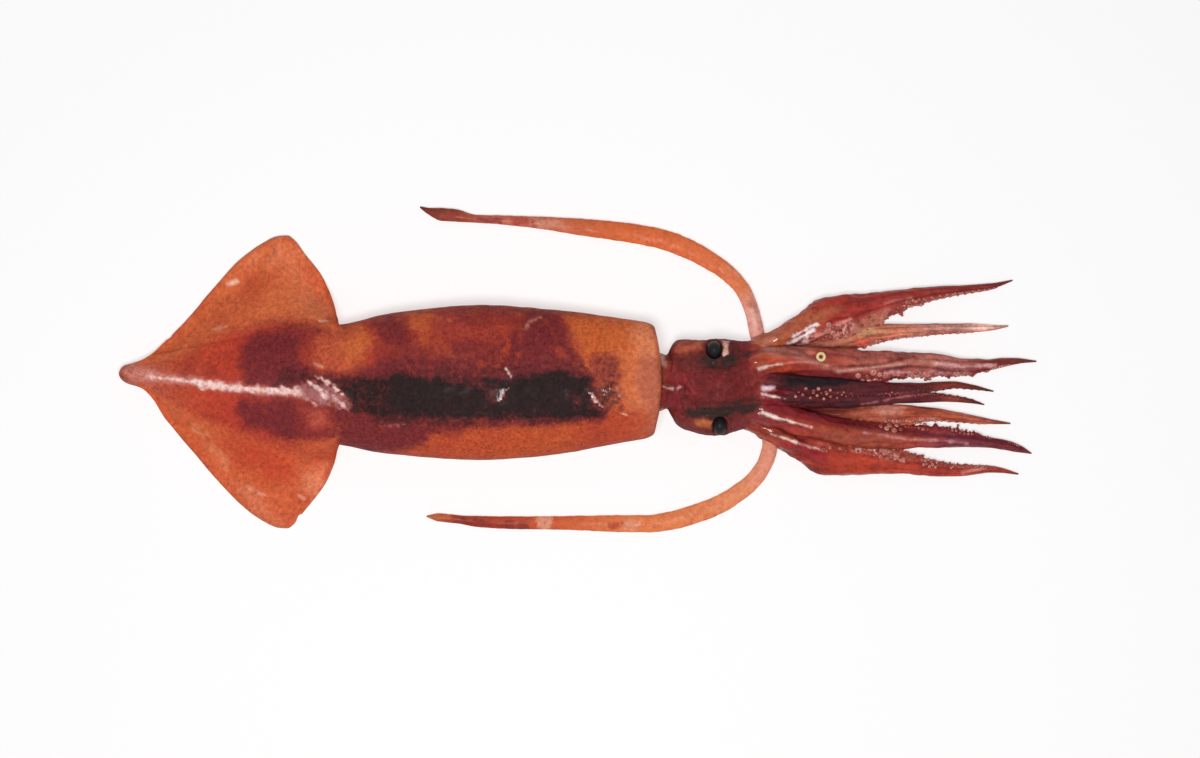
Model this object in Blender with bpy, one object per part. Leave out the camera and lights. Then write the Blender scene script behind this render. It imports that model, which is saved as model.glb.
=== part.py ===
"""A whole raw flying squid, laid belly down with its arms forward and its tentacles folded back.

Every length, place and outline below is a share of the mantle's length, the way squid are measured.
x runs from the tail's point (0) over the mantle's front edge (1) to the arm tips, +y is the squid's
left side, and z is the height over the surface it lies on. The finished part has its origin at the
middle of its footprint.
"""

import math

import bmesh
import bpy
from mathutils import Vector

MANTLE_LENGTH = 0.250
COLLECTION_NAME = "raw_squid"

# Mantle: (station, value) knots.
MANTLE_HALF_WIDTH = (
    (0.0, 0.0035), (0.004, 0.0105), (0.011, 0.016), (0.023, 0.0205), (0.041, 0.0255), (0.085, 0.039),
    (0.188, 0.075), (0.29, 0.097), (0.40, 0.109), (0.51, 0.131), (0.67, 0.1433), (0.80, 0.134),
    (0.93, 0.115), (0.98, 0.1085), (1.0, 0.104),
)
FIN_REACH = (
    (0.023, 0.02), (0.041, 0.0275), (0.063, 0.045), (0.085, 0.072), (0.129, 0.121), (0.174, 0.174),
    (0.218, 0.222), (0.262, 0.2555), (0.295, 0.2695), (0.310, 0.2705), (0.324, 0.2615), (0.340, 0.2405),
    (0.379, 0.1885), (0.396, 0.1525), (0.407, 0.1235), (0.420, 0.1105),
)
MANTLE_TOP = (
    (0.0, 0.024), (0.011, 0.033), (0.041, 0.044), (0.129, 0.066), (0.29, 0.104), (0.42, 0.128),
    (0.55, 0.146), (0.68, 0.152), (0.80, 0.147), (0.93, 0.137), (1.0, 0.130),
)
MANTLE_BELLY = ((0.0, 0.016), (0.011, 0.008), (0.041, 0.003), (0.085, 0.0), (1.0, 0.0))
MANTLE_SWAY = (
    (0.0, 0.0176), (0.041, 0.0166), (0.063, 0.013), (0.085, 0.0055), (0.129, 0.002), (0.36, 0.002),
    (0.42, -0.0035), (0.55, -0.0005), (0.80, 0.002), (1.0, 0.005),
)
WIDEST_LEVEL = 0.42
BELLY_FLATNESS = 1.12
FIN_ROOT_ANGLE = 30.0
FIN_ROOT_THICKNESS = 0.026
FIN_EDGE_HEIGHT = 0.0045
MANTLE_WALL = 0.015
COLLAR_SETBACK = 0.014
COLLAR_DEPTH = 0.035

# Head, from the end of the neck inside the mantle to the root of the arms.
HEAD_HALF_WIDTH = (
    (0.970, 0.050), (0.990, 0.062), (1.008, 0.060), (1.020, 0.071), (1.042, 0.083), (1.087, 0.0875),
    (1.110, 0.0885), (1.153, 0.081), (1.183, 0.083), (1.220, 0.074), (1.257, 0.052), (1.300, 0.016),
)
HEAD_TOP = (
    (0.970, 0.092), (1.008, 0.106), (1.042, 0.121), (1.087, 0.129), (1.130, 0.126), (1.165, 0.112),
    (1.200, 0.088), (1.240, 0.066), (1.300, 0.046),
)
HEAD_BELLY = ((0.970, 0.022), (1.008, 0.016), (1.042, 0.0), (1.220, 0.0), (1.300, 0.016))
HEAD_SWAY = ((0.970, 0.001), (1.020, 0.0), (1.087, -0.0083), (1.153, -0.004), (1.300, -0.009))

EYE_SIZE = (0.0165, 0.0215, 0.026)
EYE_PLACES = {"eye_left": (1.0985, 0.0585, 0.093), "eye_right": (1.1055, -0.0790, 0.086)}
SOCKET_GAP = 0.0014

# Arms and tentacles: (x, y, z, half width, half height, web) along each one. The web is the thin
# membrane beside the suckers, and WEB_SIDE says which edge of the arm carries it.
ARMS = {
    "dorsal_left": (
        (1.135, 0.004, 0.078, 0.018, 0.024, 0.0), (1.180, 0.003, 0.082, 0.018, 0.023, 0.0),
        (1.238, -0.001, 0.071, 0.0175, 0.022, 0.0),
        (1.312, -0.006, 0.053, 0.0168, 0.019, 0.0), (1.386, -0.011, 0.037, 0.0150, 0.0170, 0.0),
        (1.451, -0.010, 0.025, 0.012, 0.0135, 0.0), (1.506, -0.0065, 0.016, 0.0085, 0.0095, 0.0),
        (1.543, -0.0035, 0.0105, 0.0065, 0.0072, 0.0), (1.575, -0.0075, 0.0072, 0.0046, 0.0055, 0.0),
        (1.614, -0.0153, 0.0040, 0.0014, 0.0028, 0.0),
    ),
    "dorsal_right": (
        (1.135, -0.022, 0.078, 0.018, 0.024, 0.0), (1.180, -0.025, 0.081, 0.018, 0.023, 0.0),
        (1.238, -0.027, 0.068, 0.0175, 0.022, 0.0),
        (1.312, -0.0305, 0.050, 0.0165, 0.019, 0.0), (1.386, -0.0285, 0.034, 0.014, 0.0165, 0.0),
        (1.451, -0.026, 0.022, 0.012, 0.0135, 0.0), (1.506, -0.026, 0.0136, 0.0085, 0.0095, 0.0),
        (1.543, -0.029, 0.0096, 0.0062, 0.0072, 0.0), (1.571, -0.0333, 0.0064, 0.0041, 0.0048, 0.0),
        (1.597, -0.040, 0.0038, 0.0014, 0.0028, 0.0),
    ),
    "upper_left": (
        (1.140, 0.030, 0.066, 0.022, 0.034, 0.0), (1.180, 0.037, 0.074, 0.025, 0.032, 0.0), (1.220, 0.0425, 0.070, 0.026, 0.030, 0.0),
        (1.294, 0.041, 0.056, 0.024, 0.026, 0.004), (1.368, 0.038, 0.040, 0.023, 0.022, 0.007),
        (1.442, 0.037, 0.028, 0.0205, 0.019, 0.005), (1.516, 0.035, 0.020, 0.0175, 0.016, 0.004),
        (1.556, 0.0325, 0.016, 0.015, 0.014, 0.003), (1.599, 0.034, 0.0125, 0.011, 0.0115, 0.0),
        (1.632, 0.038, 0.0100, 0.0074, 0.0088, 0.0), (1.664, 0.0407, 0.0076, 0.0046, 0.0064, 0.0),
        (1.693, 0.040, 0.0046, 0.0015, 0.0030, 0.0),
    ),
    "upper_right": (
        (1.140, -0.038, 0.066, 0.022, 0.034, 0.0), (1.180, -0.051, 0.074, 0.024, 0.032, 0.0), (1.220, -0.063, 0.068, 0.024, 0.030, 0.0),
        (1.294, -0.0815, 0.052, 0.023, 0.026, 0.0), (1.368, -0.096, 0.038, 0.022, 0.022, 0.002),
        (1.442, -0.1025, 0.026, 0.0185, 0.0185, 0.005), (1.516, -0.1025, 0.018, 0.0163, 0.0152, 0.005),
        (1.562, -0.105, 0.0148, 0.013, 0.013, 0.003), (1.608, -0.111, 0.0120, 0.0095, 0.0104, 0.001),
        (1.641, -0.1165, 0.0096, 0.0083, 0.0080, 0.001), (1.660, -0.1216, 0.0076, 0.007, 0.0064, 0.0),
        (1.684, -0.130, 0.0044, 0.0015, 0.0030, 0.0),
    ),
    "lateral_left": (
        (1.140, 0.042, 0.048, 0.022, 0.034, 0.0), (1.211, 0.0785, 0.046, 0.0215, 0.034, 0.0),
        (1.257, 0.100, 0.036, 0.0245, 0.028, 0.006), (1.303, 0.1245, 0.028, 0.031, 0.024, 0.015),
        (1.349, 0.135, 0.024, 0.0295, 0.022, 0.022), (1.390, 0.145, 0.021, 0.022, 0.0192, 0.013),
        (1.451, 0.159, 0.017, 0.0157, 0.016, 0.006), (1.508, 0.168, 0.0136, 0.011, 0.012, 0.002),
        (1.567, 0.1737, 0.0098, 0.0074, 0.0084, 0.0), (1.608, 0.1785, 0.0078, 0.0059, 0.0064, 0.0),
        (1.649, 0.1895, 0.0048, 0.0015, 0.0030, 0.0),
    ),
    "lateral_right": (
        (1.140, -0.052, 0.048, 0.022, 0.034, 0.0), (1.211, -0.0925, 0.046, 0.0215, 0.034, 0.0),
        (1.257, -0.1165, 0.036, 0.0235, 0.028, 0.004), (1.303, -0.137, 0.028, 0.0305, 0.024, 0.011),
        (1.349, -0.1415, 0.024, 0.027, 0.022, 0.016), (1.405, -0.146, 0.021, 0.022, 0.0192, 0.009),
        (1.451, -0.1515, 0.0172, 0.0175, 0.0165, 0.007), (1.506, -0.1595, 0.0136, 0.013, 0.0124, 0.003),
        (1.556, -0.1623, 0.0102, 0.0102, 0.0092, 0.001), (1.599, -0.1593, 0.0078, 0.007, 0.0068, 0.0),
        (1.627, -0.1612, 0.0064, 0.0052, 0.0052, 0.0), (1.660, -0.1682, 0.0044, 0.0015, 0.0030, 0.0),
    ),
    "ventral_left": (
        (1.183, 0.0425, 0.024, 0.0185, 0.024, 0.0), (1.257, 0.059, 0.024, 0.021, 0.0240, 0.0),
        (1.322, 0.074, 0.018, 0.020, 0.017, 0.0), (1.386, 0.0905, 0.0164, 0.0165, 0.0155, 0.002),
        (1.451, 0.097, 0.0140, 0.012, 0.0130, 0.0), (1.516, 0.100, 0.0114, 0.010, 0.0104, 0.0),
        (1.571, 0.1017, 0.0096, 0.008, 0.0086, 0.0), (1.608, 0.102, 0.0072, 0.0052, 0.0062, 0.0),
        (1.641, 0.1053, 0.0042, 0.0015, 0.0030, 0.0),
    ),
    "ventral_right": (
        (1.183, -0.046, 0.022, 0.0185, 0.020, 0.0), (1.257, -0.0535, 0.020, 0.020, 0.0185, 0.0),
        (1.331, -0.0575, 0.0186, 0.020, 0.0175, 0.0), (1.386, -0.0545, 0.0180, 0.0185, 0.0170, 0.004),
        (1.451, -0.0555, 0.0164, 0.0157, 0.0155, 0.006), (1.497, -0.0565, 0.0144, 0.0126, 0.0134, 0.0),
        (1.553, -0.0638, 0.0112, 0.0089, 0.0102, 0.0), (1.599, -0.0702, 0.0084, 0.0056, 0.0074, 0.0),
        (1.645, -0.0748, 0.0046, 0.0015, 0.0030, 0.0),
    ),
}
WEB_SIDE = {
    "dorsal_left": -1, "dorsal_right": 1, "upper_left": -1, "upper_right": 1,
    "lateral_left": -1, "lateral_right": 1, "ventral_left": -1, "ventral_right": -1,
}
TENTACLES = {
    "tentacle_left": (
        (1.190, 0.057, 0.030, 0.013, 0.014), (1.177, 0.091, 0.021, 0.014, 0.012),
        (1.168, 0.131, 0.0140, 0.0136, 0.0104), (1.152, 0.170, 0.0104, 0.014, 0.0080),
        (1.124, 0.2015, 0.0088, 0.0153, 0.0076), (1.089, 0.2265, 0.0082, 0.0168, 0.0072),
        (1.043, 0.2505, 0.0080, 0.0182, 0.0072), (0.998, 0.2665, 0.0080, 0.0185, 0.0072),
        (0.943, 0.277, 0.0080, 0.0177, 0.0072), (0.869, 0.286, 0.0080, 0.0163, 0.0072),
        (0.786, 0.295, 0.0078, 0.0118, 0.0072), (0.702, 0.3013, 0.0072, 0.0085, 0.0064),
        (0.656, 0.3035, 0.0068, 0.0075, 0.0060), (0.621, 0.3095, 0.0074, 0.0116, 0.0068),
        (0.595, 0.3115, 0.0074, 0.0121, 0.0066), (0.573, 0.317, 0.0060, 0.0067, 0.0052),
        (0.555, 0.325, 0.0042, 0.0015, 0.0030),
    ),
    "tentacle_right": (
        (1.198, -0.078, 0.030, 0.015, 0.014), (1.201, -0.111, 0.021, 0.0145, 0.012),
        (1.194, -0.142, 0.0140, 0.0145, 0.0104), (1.176, -0.173, 0.0104, 0.0149, 0.0080),
        (1.153, -0.195, 0.0088, 0.016, 0.0076), (1.109, -0.2235, 0.0082, 0.0168, 0.0072),
        (1.065, -0.241, 0.0080, 0.0175, 0.0072), (1.020, -0.2538, 0.0080, 0.0172, 0.0072),
        (0.976, -0.260, 0.0080, 0.0159, 0.0072), (0.909, -0.2595, 0.0080, 0.0153, 0.0072),
        (0.821, -0.2584, 0.0078, 0.0126, 0.0072), (0.739, -0.2582, 0.0074, 0.0118, 0.0068),
        (0.665, -0.256, 0.0072, 0.0104, 0.0064), (0.621, -0.2514, 0.0068, 0.0078, 0.0060),
        (0.591, -0.2482, 0.0064, 0.0077, 0.0056), (0.567, -0.2462, 0.0042, 0.0015, 0.0030),
    ),
}
TIP_RISE = 0.0008

ARM_RINGS = 19
TENTACLE_RINGS = 30
LIMB_ANGLES = (0, 25, 60, 90, 120, 155, 180, 208, 244, 270, 296, 332)
WEB_ANGLE = 55.0
TENTACLE_ANGLES = tuple(range(0, 360, 45))
HEAD_ANGLES = tuple(range(-90, 270, 18))
FIN_STEPS = (-1.0, -0.72, -0.45, -0.2, 0.0, 0.2, 0.45, 0.72, 1.0)

SKIN_COLOURS = {
    "mantle": (0.42, 0.11, 0.045, 1.0),
    "head": (0.24, 0.040, 0.032, 1.0),
    "eye": (0.018, 0.016, 0.018, 1.0),
}
SKIN_ROUGHNESS = 0.32
EYE_ROUGHNESS = 0.12


def smooth_value(knots, station, column=1):
    """The height at station of a smooth curve through the knots that never overshoots them."""
    places = [knot[0] for knot in knots]
    values = [knot[column] for knot in knots]
    station = min(max(station, places[0]), places[-1])
    span = max(i for i in range(len(places) - 1) if places[i] <= station)
    rises = [(values[i + 1] - values[i]) / (places[i + 1] - places[i]) for i in range(len(places) - 1)]

    def slope(i):
        if i in (0, len(places) - 1):
            return rises[0 if i == 0 else -1]
        before, after = rises[i - 1], rises[i]
        return 0.0 if before * after <= 0 else 2 * before * after / (before + after)

    width = places[span + 1] - places[span]
    t = (station - places[span]) / width
    return (
        values[span] * (1 + 2 * t) * (1 - t) ** 2
        + values[span + 1] * t * t * (3 - 2 * t)
        + width * (slope(span) * t * (1 - t) ** 2 - slope(span + 1) * t * t * (1 - t))
    )


def smooth_step(t):
    t = min(max(t, 0.0), 1.0)
    return t * t * (3 - 2 * t)


def flap(angle, middle, reach):
    """How far out a flap stands at this angle: 1 at its edge, fading to 0 at the foot of its fillets."""
    offset = abs(angle - middle)
    return 0.5 + 0.5 * math.cos(math.pi * offset / reach) if offset < reach else 0.0


def even(start, end, count):
    return [start + (end - start) * i / count for i in range(count)]


def body_section(half_width, top, belly, angle):
    """(y, z) on a body that lies on its belly: an ellipse above its widest level, flattened below it."""
    turn = math.radians(angle)
    middle = belly + WIDEST_LEVEL * (top - belly)
    across = half_width * math.copysign(abs(math.cos(turn)) ** 0.88, math.cos(turn))
    if math.sin(turn) >= 0:
        return across, middle + (top - middle) * math.sin(turn)
    return across, max(belly, middle + BELLY_FLATNESS * (middle - belly) * math.sin(turn))


def fin_spread(station):
    """The angle on each side of the fin's root that gives the fin its thickness at this station."""
    depth = smooth_value(MANTLE_TOP, station) - smooth_value(MANTLE_BELLY, station)
    semi_height = (1 - WIDEST_LEVEL) * depth * math.cos(math.radians(FIN_ROOT_ANGLE))
    return min(40.0, math.degrees(FIN_ROOT_THICKNESS / 2 / semi_height))


def mantle_angles(station):
    """The ring's angles from the belly up the left side and down the right, close together on the fins."""
    spread = fin_spread(station)
    low, high = FIN_ROOT_ANGLE - spread, FIN_ROOT_ANGLE + spread
    side = even(-90.0, low, 4)[1:]
    side += [FIN_ROOT_ANGLE + spread * step for step in FIN_STEPS]
    side += even(high, 90.0, 3)[1:]
    return [-90.0] + side + [90.0] + [180.0 - angle for angle in reversed(side)]


def mantle_ring(station, inset=0.0, at=None):
    """The mantle's skin at a station, or its inner wall when inset is the wall's thickness."""
    half_width = smooth_value(MANTLE_HALF_WIDTH, station) - inset
    top = smooth_value(MANTLE_TOP, station) - inset
    belly = smooth_value(MANTLE_BELLY, station) + inset
    sway = smooth_value(MANTLE_SWAY, station)
    has_fins = FIN_REACH[0][0] < station < FIN_REACH[-1][0]
    extra = max(0.0, smooth_value(FIN_REACH, station) - half_width) if has_fins else 0.0
    root_width = half_width * (1 - math.cos(math.radians(FIN_ROOT_ANGLE)) ** 0.88)
    extra += root_width * smooth_step(extra / 0.03)
    spread = fin_spread(station)
    root_height = body_section(half_width, top, belly, FIN_ROOT_ANGLE)[1]
    droop = min(root_height - FIN_EDGE_HEIGHT, 0.8 * extra)
    ring = []
    for angle in mantle_angles(station):
        across, height = body_section(half_width, top, belly, angle)
        side = 1 if across >= 0 else -1
        out = flap(angle if side > 0 else 180.0 - angle, FIN_ROOT_ANGLE, spread)
        setback = COLLAR_SETBACK * smooth_step((station - 0.9) / 0.1) * (across / half_width) ** 2
        x = (station if at is None else at) - setback
        ring.append((x, sway + across + side * extra * out, height - droop * smooth_step(out / 0.8)))
    return ring


def head_ring(station):
    half_width = smooth_value(HEAD_HALF_WIDTH, station)
    top, belly = smooth_value(HEAD_TOP, station), smooth_value(HEAD_BELLY, station)
    sway = smooth_value(HEAD_SWAY, station)
    ring = []
    for angle in HEAD_ANGLES:
        across, height = body_section(half_width, top, belly, angle)
        ring.append((station, sway + across, height))
    return ring


def limb_stations(knots):
    """The knots with their distance along the limb in front of them."""
    along, stations = 0.0, []
    for i, knot in enumerate(knots):
        if i:
            along += math.dist(knot[:3], knots[i - 1][:3])
        stations.append((along, *knot))
    return stations


def limb_rings(knots, count, angles, web_side=0):
    """Rings across an arm or tentacle, square to its run, with a thin web on one edge of an arm."""
    stations = limb_stations(knots)
    length = stations[-1][0]
    rings = []
    for i in range(count + 1):
        along = length * i / count
        place = Vector([smooth_value(stations, along, column) for column in (1, 2, 3)])
        ahead = Vector([smooth_value(stations, along + 0.004, column) for column in (1, 2, 3)])
        behind = Vector([smooth_value(stations, along - 0.004, column) for column in (1, 2, 3)])
        run = (ahead - behind).normalized()
        side = Vector((-run.y, run.x, 0.0)).normalized()
        up = run.cross(side)
        half_width, half_height = (smooth_value(stations, along, column) for column in (4, 5))
        web = smooth_value(stations, along, 6) if web_side else 0.0
        ring = []
        for angle in angles:
            turn = math.radians(angle)
            out = flap((angle - (0 if web_side > 0 else 180) + 180) % 360 - 180, 0.0, WEB_ANGLE)
            reach = half_width * math.cos(turn) + web_side * web * out
            point = place + side * reach + up * half_height * math.sin(turn)
            point.z = max(point.z, TIP_RISE)
            ring.append(tuple(point))
        rings.append(ring)
    return rings


def loft(name, rings, collection):
    """A closed mesh object through the rings, with a flat cap on its first and last."""
    mesh = bmesh.new()
    loops = [[mesh.verts.new(Vector(point) * MANTLE_LENGTH) for point in ring] for ring in rings]
    for back, front in zip(loops, loops[1:]):
        for i in range(len(back)):
            j = (i + 1) % len(back)
            mesh.faces.new((back[i], back[j], front[j], front[i]))
    mesh.faces.new(loops[0])
    mesh.faces.new(loops[-1])
    bmesh.ops.recalc_face_normals(mesh, faces=mesh.faces)
    data = bpy.data.meshes.new(name)
    mesh.to_mesh(data)
    mesh.free()
    data.shade_smooth()
    piece = bpy.data.objects.new(name, data)
    collection.objects.link(piece)
    return piece


def ellipsoid(name, place, size, collection, segments=16):
    mesh = bmesh.new()
    bmesh.ops.create_uvsphere(mesh, u_segments=segments, v_segments=segments // 2 + 1, radius=1.0)
    bmesh.ops.scale(mesh, vec=Vector(size) * MANTLE_LENGTH, verts=mesh.verts)
    data = bpy.data.meshes.new(name)
    mesh.to_mesh(data)
    mesh.free()
    data.shade_smooth()
    piece = bpy.data.objects.new(name, data)
    piece.location = Vector(place) * MANTLE_LENGTH
    collection.objects.link(piece)
    return piece


def skin_material(name, roughness):
    material = bpy.data.materials.new(name)
    material.use_nodes = True
    shader = material.node_tree.nodes["Principled BSDF"]
    shader.inputs["Base Color"].default_value = SKIN_COLOURS[name]
    shader.inputs["Roughness"].default_value = roughness
    shader.inputs["Metallic"].default_value = 0.0
    return material


def helper_collection(name):
    collection = bpy.data.collections.new(name)
    bpy.context.scene.collection.children.link(collection)
    return collection


def hide_helper(piece):
    piece.hide_render = True
    piece.display_type = "WIRE"


def make_mantle(parts):
    """The body tube with its two fins. Its front is open as far as the collar is deep."""
    stations = even(0.0, 0.041, 4) + even(0.041, 0.295, 12) + even(0.295, 0.42, 9)
    stations += even(0.42, 0.98, 10) + [0.98]
    rings = [mantle_ring(station) for station in stations]
    rings.append(mantle_ring(0.994, inset=0.0015))
    rings.append(mantle_ring(1.0, inset=0.006))
    rings.append(mantle_ring(0.996, inset=0.012))
    rings.append(mantle_ring(0.985, inset=MANTLE_WALL))
    rings.append(mantle_ring(1.0 - COLLAR_DEPTH, inset=MANTLE_WALL))
    mantle = loft("mantle", rings, parts)
    mantle.data.materials.append(skin_material("mantle", SKIN_ROUGHNESS))


def make_head(parts, limbs, cutters):
    """Neck, head, eight arms and two tentacles as one solid, with a socket for each eye."""
    neck_end, crown_end = HEAD_TOP[0][0], HEAD_TOP[-1][0]
    stations = even(neck_end, 1.05, 6) + even(1.05, crown_end, 10) + [crown_end]
    head = loft("head", [head_ring(station) for station in stations], parts)
    head.data.materials.append(skin_material("head", SKIN_ROUGHNESS))
    for name, knots in ARMS.items():
        rings = limb_rings(knots, ARM_RINGS, LIMB_ANGLES, WEB_SIDE[name])
        hide_helper(loft("arm_" + name, rings, limbs))
    for name, knots in TENTACLES.items():
        hide_helper(loft(name, limb_rings(knots, TENTACLE_RINGS, TENTACLE_ANGLES), limbs))
    for name, place in EYE_PLACES.items():
        size = [semi_axis + SOCKET_GAP for semi_axis in EYE_SIZE]
        hide_helper(ellipsoid(name + "_socket", place, size, cutters))
    join = head.modifiers.new("join_limbs", "BOOLEAN")
    join.operation = "UNION"
    join.operand_type = "COLLECTION"
    join.collection = limbs
    cut = head.modifiers.new("cut_sockets", "BOOLEAN")
    cut.operation = "DIFFERENCE"
    cut.operand_type = "COLLECTION"
    cut.collection = cutters


def make_eyes(parts):
    material = skin_material("eye", EYE_ROUGHNESS)
    for name, place in EYE_PLACES.items():
        eye = ellipsoid(name, place, EYE_SIZE, parts)
        eye.data.materials.append(material)


def centre_on_origin(parts):
    """Moves everything so that the origin is in the middle of the part's footprint, at its lowest level."""
    bpy.context.view_layer.update()
    graph = bpy.context.evaluated_depsgraph_get()
    corners = []
    for piece in parts.objects:
        evaluated = piece.evaluated_get(graph)
        corners += [evaluated.matrix_world @ vertex.co for vertex in evaluated.data.vertices]
    low, high = (Vector([pick(corner[i] for corner in corners) for i in range(3)]) for pick in (min, max))
    shift = Vector(((low.x + high.x) / 2, (low.y + high.y) / 2, low.z))
    for piece in bpy.data.objects:
        piece.location -= shift


def main():
    for leftover in list(bpy.data.objects):
        bpy.data.objects.remove(leftover)
    parts = helper_collection(COLLECTION_NAME)
    limbs = helper_collection("limbs")
    cutters = helper_collection("cutters")
    make_mantle(parts)
    make_head(parts, limbs, cutters)
    make_eyes(parts)
    centre_on_origin(parts)


main()
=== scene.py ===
import math

import bpy
import numpy as np
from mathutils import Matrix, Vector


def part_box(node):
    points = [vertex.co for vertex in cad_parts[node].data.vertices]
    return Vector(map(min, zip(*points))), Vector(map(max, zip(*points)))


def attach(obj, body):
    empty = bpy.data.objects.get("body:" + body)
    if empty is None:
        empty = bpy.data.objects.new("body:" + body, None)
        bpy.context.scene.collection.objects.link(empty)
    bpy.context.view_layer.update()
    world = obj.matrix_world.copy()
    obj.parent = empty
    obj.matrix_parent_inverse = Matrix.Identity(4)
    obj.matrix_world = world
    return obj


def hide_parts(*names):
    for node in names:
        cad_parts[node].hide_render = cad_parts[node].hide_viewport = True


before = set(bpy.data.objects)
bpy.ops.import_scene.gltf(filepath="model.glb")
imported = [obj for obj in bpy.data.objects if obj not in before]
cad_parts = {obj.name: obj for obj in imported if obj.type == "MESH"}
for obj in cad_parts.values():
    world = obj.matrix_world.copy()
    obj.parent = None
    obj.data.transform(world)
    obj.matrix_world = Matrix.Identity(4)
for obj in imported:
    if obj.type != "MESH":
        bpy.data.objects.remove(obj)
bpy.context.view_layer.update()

# Lengths below are shares of the mantle's length, as squid are measured: x runs from the tail's point (0)
# over the mantle's front edge (1) to the arm tips, +y is the squid's left side, z is the height.
mantleLow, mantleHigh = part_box("mantle")
mantleLength = mantleHigh.x - mantleLow.x
finSway = 0.002
midline = (mantleLow.y + mantleHigh.y) / 2 - finSway * mantleLength
millimetre = 0.001


def inMetres(points):
    return np.asarray(points, float) * mantleLength + (mantleLow.x, midline, 0.0)


def through(knots, at, column=1):
    # a smooth curve through the knots that never overshoots them
    places = np.array([knot[0] for knot in knots], float)
    values = np.array([knot[column] for knot in knots], float)
    at = np.clip(at, places[0], places[-1])
    rises = np.diff(values) / np.diff(places)
    slopes = np.zeros(len(places))
    slopes[0], slopes[-1] = rises[0], rises[-1]
    before, after = rises[:-1], rises[1:]
    turns = before * after > 0
    slopes[1:-1][turns] = (2 * before * after)[turns] / (before + after)[turns]
    span = np.clip(np.searchsorted(places, at, side="right") - 1, 0, len(places) - 2)
    width = places[span + 1] - places[span]
    t = (at - places[span]) / width
    return (values[span] * (1 + 2 * t) * (1 - t) ** 2 + values[span + 1] * t * t * (3 - 2 * t)
            + width * (slopes[span] * t * (1 - t) ** 2 - slopes[span + 1] * t * t * (1 - t)))


def softStep(start, end, value):
    t = np.clip((value - start) / (end - start), 0, 1)
    return t * t * (3 - 2 * t)


def cloud(points, size, seed=0, octaves=3):
    # uneven field between -1 and 1, with lumps of this size
    points = np.asarray(points, float)
    total, gain, reach = np.zeros(points.shape[:-1]), 1.0, 0.0
    for octave in range(octaves):
        spot = points / size * 2 ** octave + seed * 7.31 + octave * 19.7
        cell = np.floor(spot).astype(np.int64)
        part = spot - cell
        part = part * part * (3 - 2 * part)
        for corner in range(8):
            step = np.array([corner & 1, corner >> 1 & 1, corner >> 2 & 1])
            key = (cell + step) @ np.array([374761393, 668265263, 1274126177]) + seed * 9176
            key = (key ^ (key >> 13)) * 1103515245 & 0xFFFFFFFF
            key = (key ^ (key >> 15)) * 2654435761 & 0xFFFFFFFF
            share = np.where(step, part, 1 - part).prod(axis=-1)
            total += gain * share * ((key >> 8 & 0xFFFF) / 32767.5 - 1)
        reach += gain
        gain *= 0.5
    return total / reach * 1.6


def lineDistance(x, y, line):
    best = np.full(np.shape(x), 1e9)
    for (x0, y0), (x1, y1) in zip(line, line[1:]):
        dx, dy = x1 - x0, y1 - y0
        t = np.clip(((x - x0) * dx + (y - y0) * dy) / (dx * dx + dy * dy), 0, 1)
        best = np.minimum(best, np.hypot(x - x0 - t * dx, y - y0 - t * dy))
    return best


def depthInside(x, y, outline):
    # distance to a closed outline, positive inside it
    inside = np.zeros(np.shape(x), bool)
    for (x0, y0), (x1, y1) in zip(outline, outline[1:] + outline[:1]):
        crosses = (y0 > y) != (y1 > y)
        inside ^= crosses & (x < x0 + (y - y0) * (x1 - x0) / ((y1 - y0) or 1e-9))
    distance = lineDistance(x, y, outline + outline[:1])
    return np.where(inside, distance, -distance)


def toLinear(tone):
    channels = np.array([int(tone[i:i + 2], 16) / 255 for i in (1, 3, 5)])
    return np.where(channels <= 0.04045, channels / 12.92, ((channels + 0.055) / 1.055) ** 2.4)


def toneAlong(stops, at):
    # colours fading into each other along a length
    places = [stop[0] for stop in stops]
    tones = np.array([toLinear(stop[1]) for stop in stops])
    return np.stack([np.interp(at, places, tones[:, channel]) for channel in range(3)], axis=-1)


def blendTone(colour, tone, mask):
    tone = toLinear(tone) if isinstance(tone, str) else tone
    colour += (tone - colour) * np.clip(mask, 0, 1)[..., None]


def blankPaint(points, tones, at):
    # a coat of plain colour, with no dark stain and no ink on it yet
    shape = points.shape[:-1]
    return {"colour": toneAlong(tones, at) * np.ones(points.shape), "stain": np.zeros(shape), "ink": np.zeros(shape)}


def paintPatches(paint, points, patches, seed):
    # lays soft-edged patches seen from above, one over the other: colour, dark red stain or black ink
    x, y = points[..., 0], points[..., 1]
    for number, patch in enumerate(patches):
        if "line" in patch:
            start, end = patch["line"][0], patch["line"][-1]
            gone = np.clip(np.hypot(x - start[0], y - start[1]) / math.dist(start, end), 0, 1)
            halfWidth = patch["width"] / 2 * (1 - patch.get("taper", 0.0) * gone)
            depth = halfWidth - lineDistance(x, y, patch["line"])
        else:
            depth = depthInside(x, y, patch["outline"])
        depth = depth + patch.get("ragged", 0.006) * cloud(points, patch.get("grain", 0.03), seed + number, 4)
        soft = patch.get("soft", 0.01)
        mask = patch.get("amount", 1.0) * softStep(-soft, soft, depth)
        for layer in ("stain", "ink"):
            if layer in patch:
                paint[layer] += (patch[layer] - paint[layer]) * mask
            elif "tone" in patch:
                paint[layer] *= 1 - mask
        if "tone" in patch:
            blendTone(paint["colour"], patch["tone"], mask)


def outward(grid):
    # unit normals of a grid of closed rings, each going round against the clock as seen from its front
    along = np.gradient(grid, axis=0)
    around = np.roll(grid, -1, axis=1) - np.roll(grid, 1, axis=1)
    normals = np.cross(around, along)
    return normals / np.maximum(np.linalg.norm(normals, axis=-1, keepdims=True), 1e-12)


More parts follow.
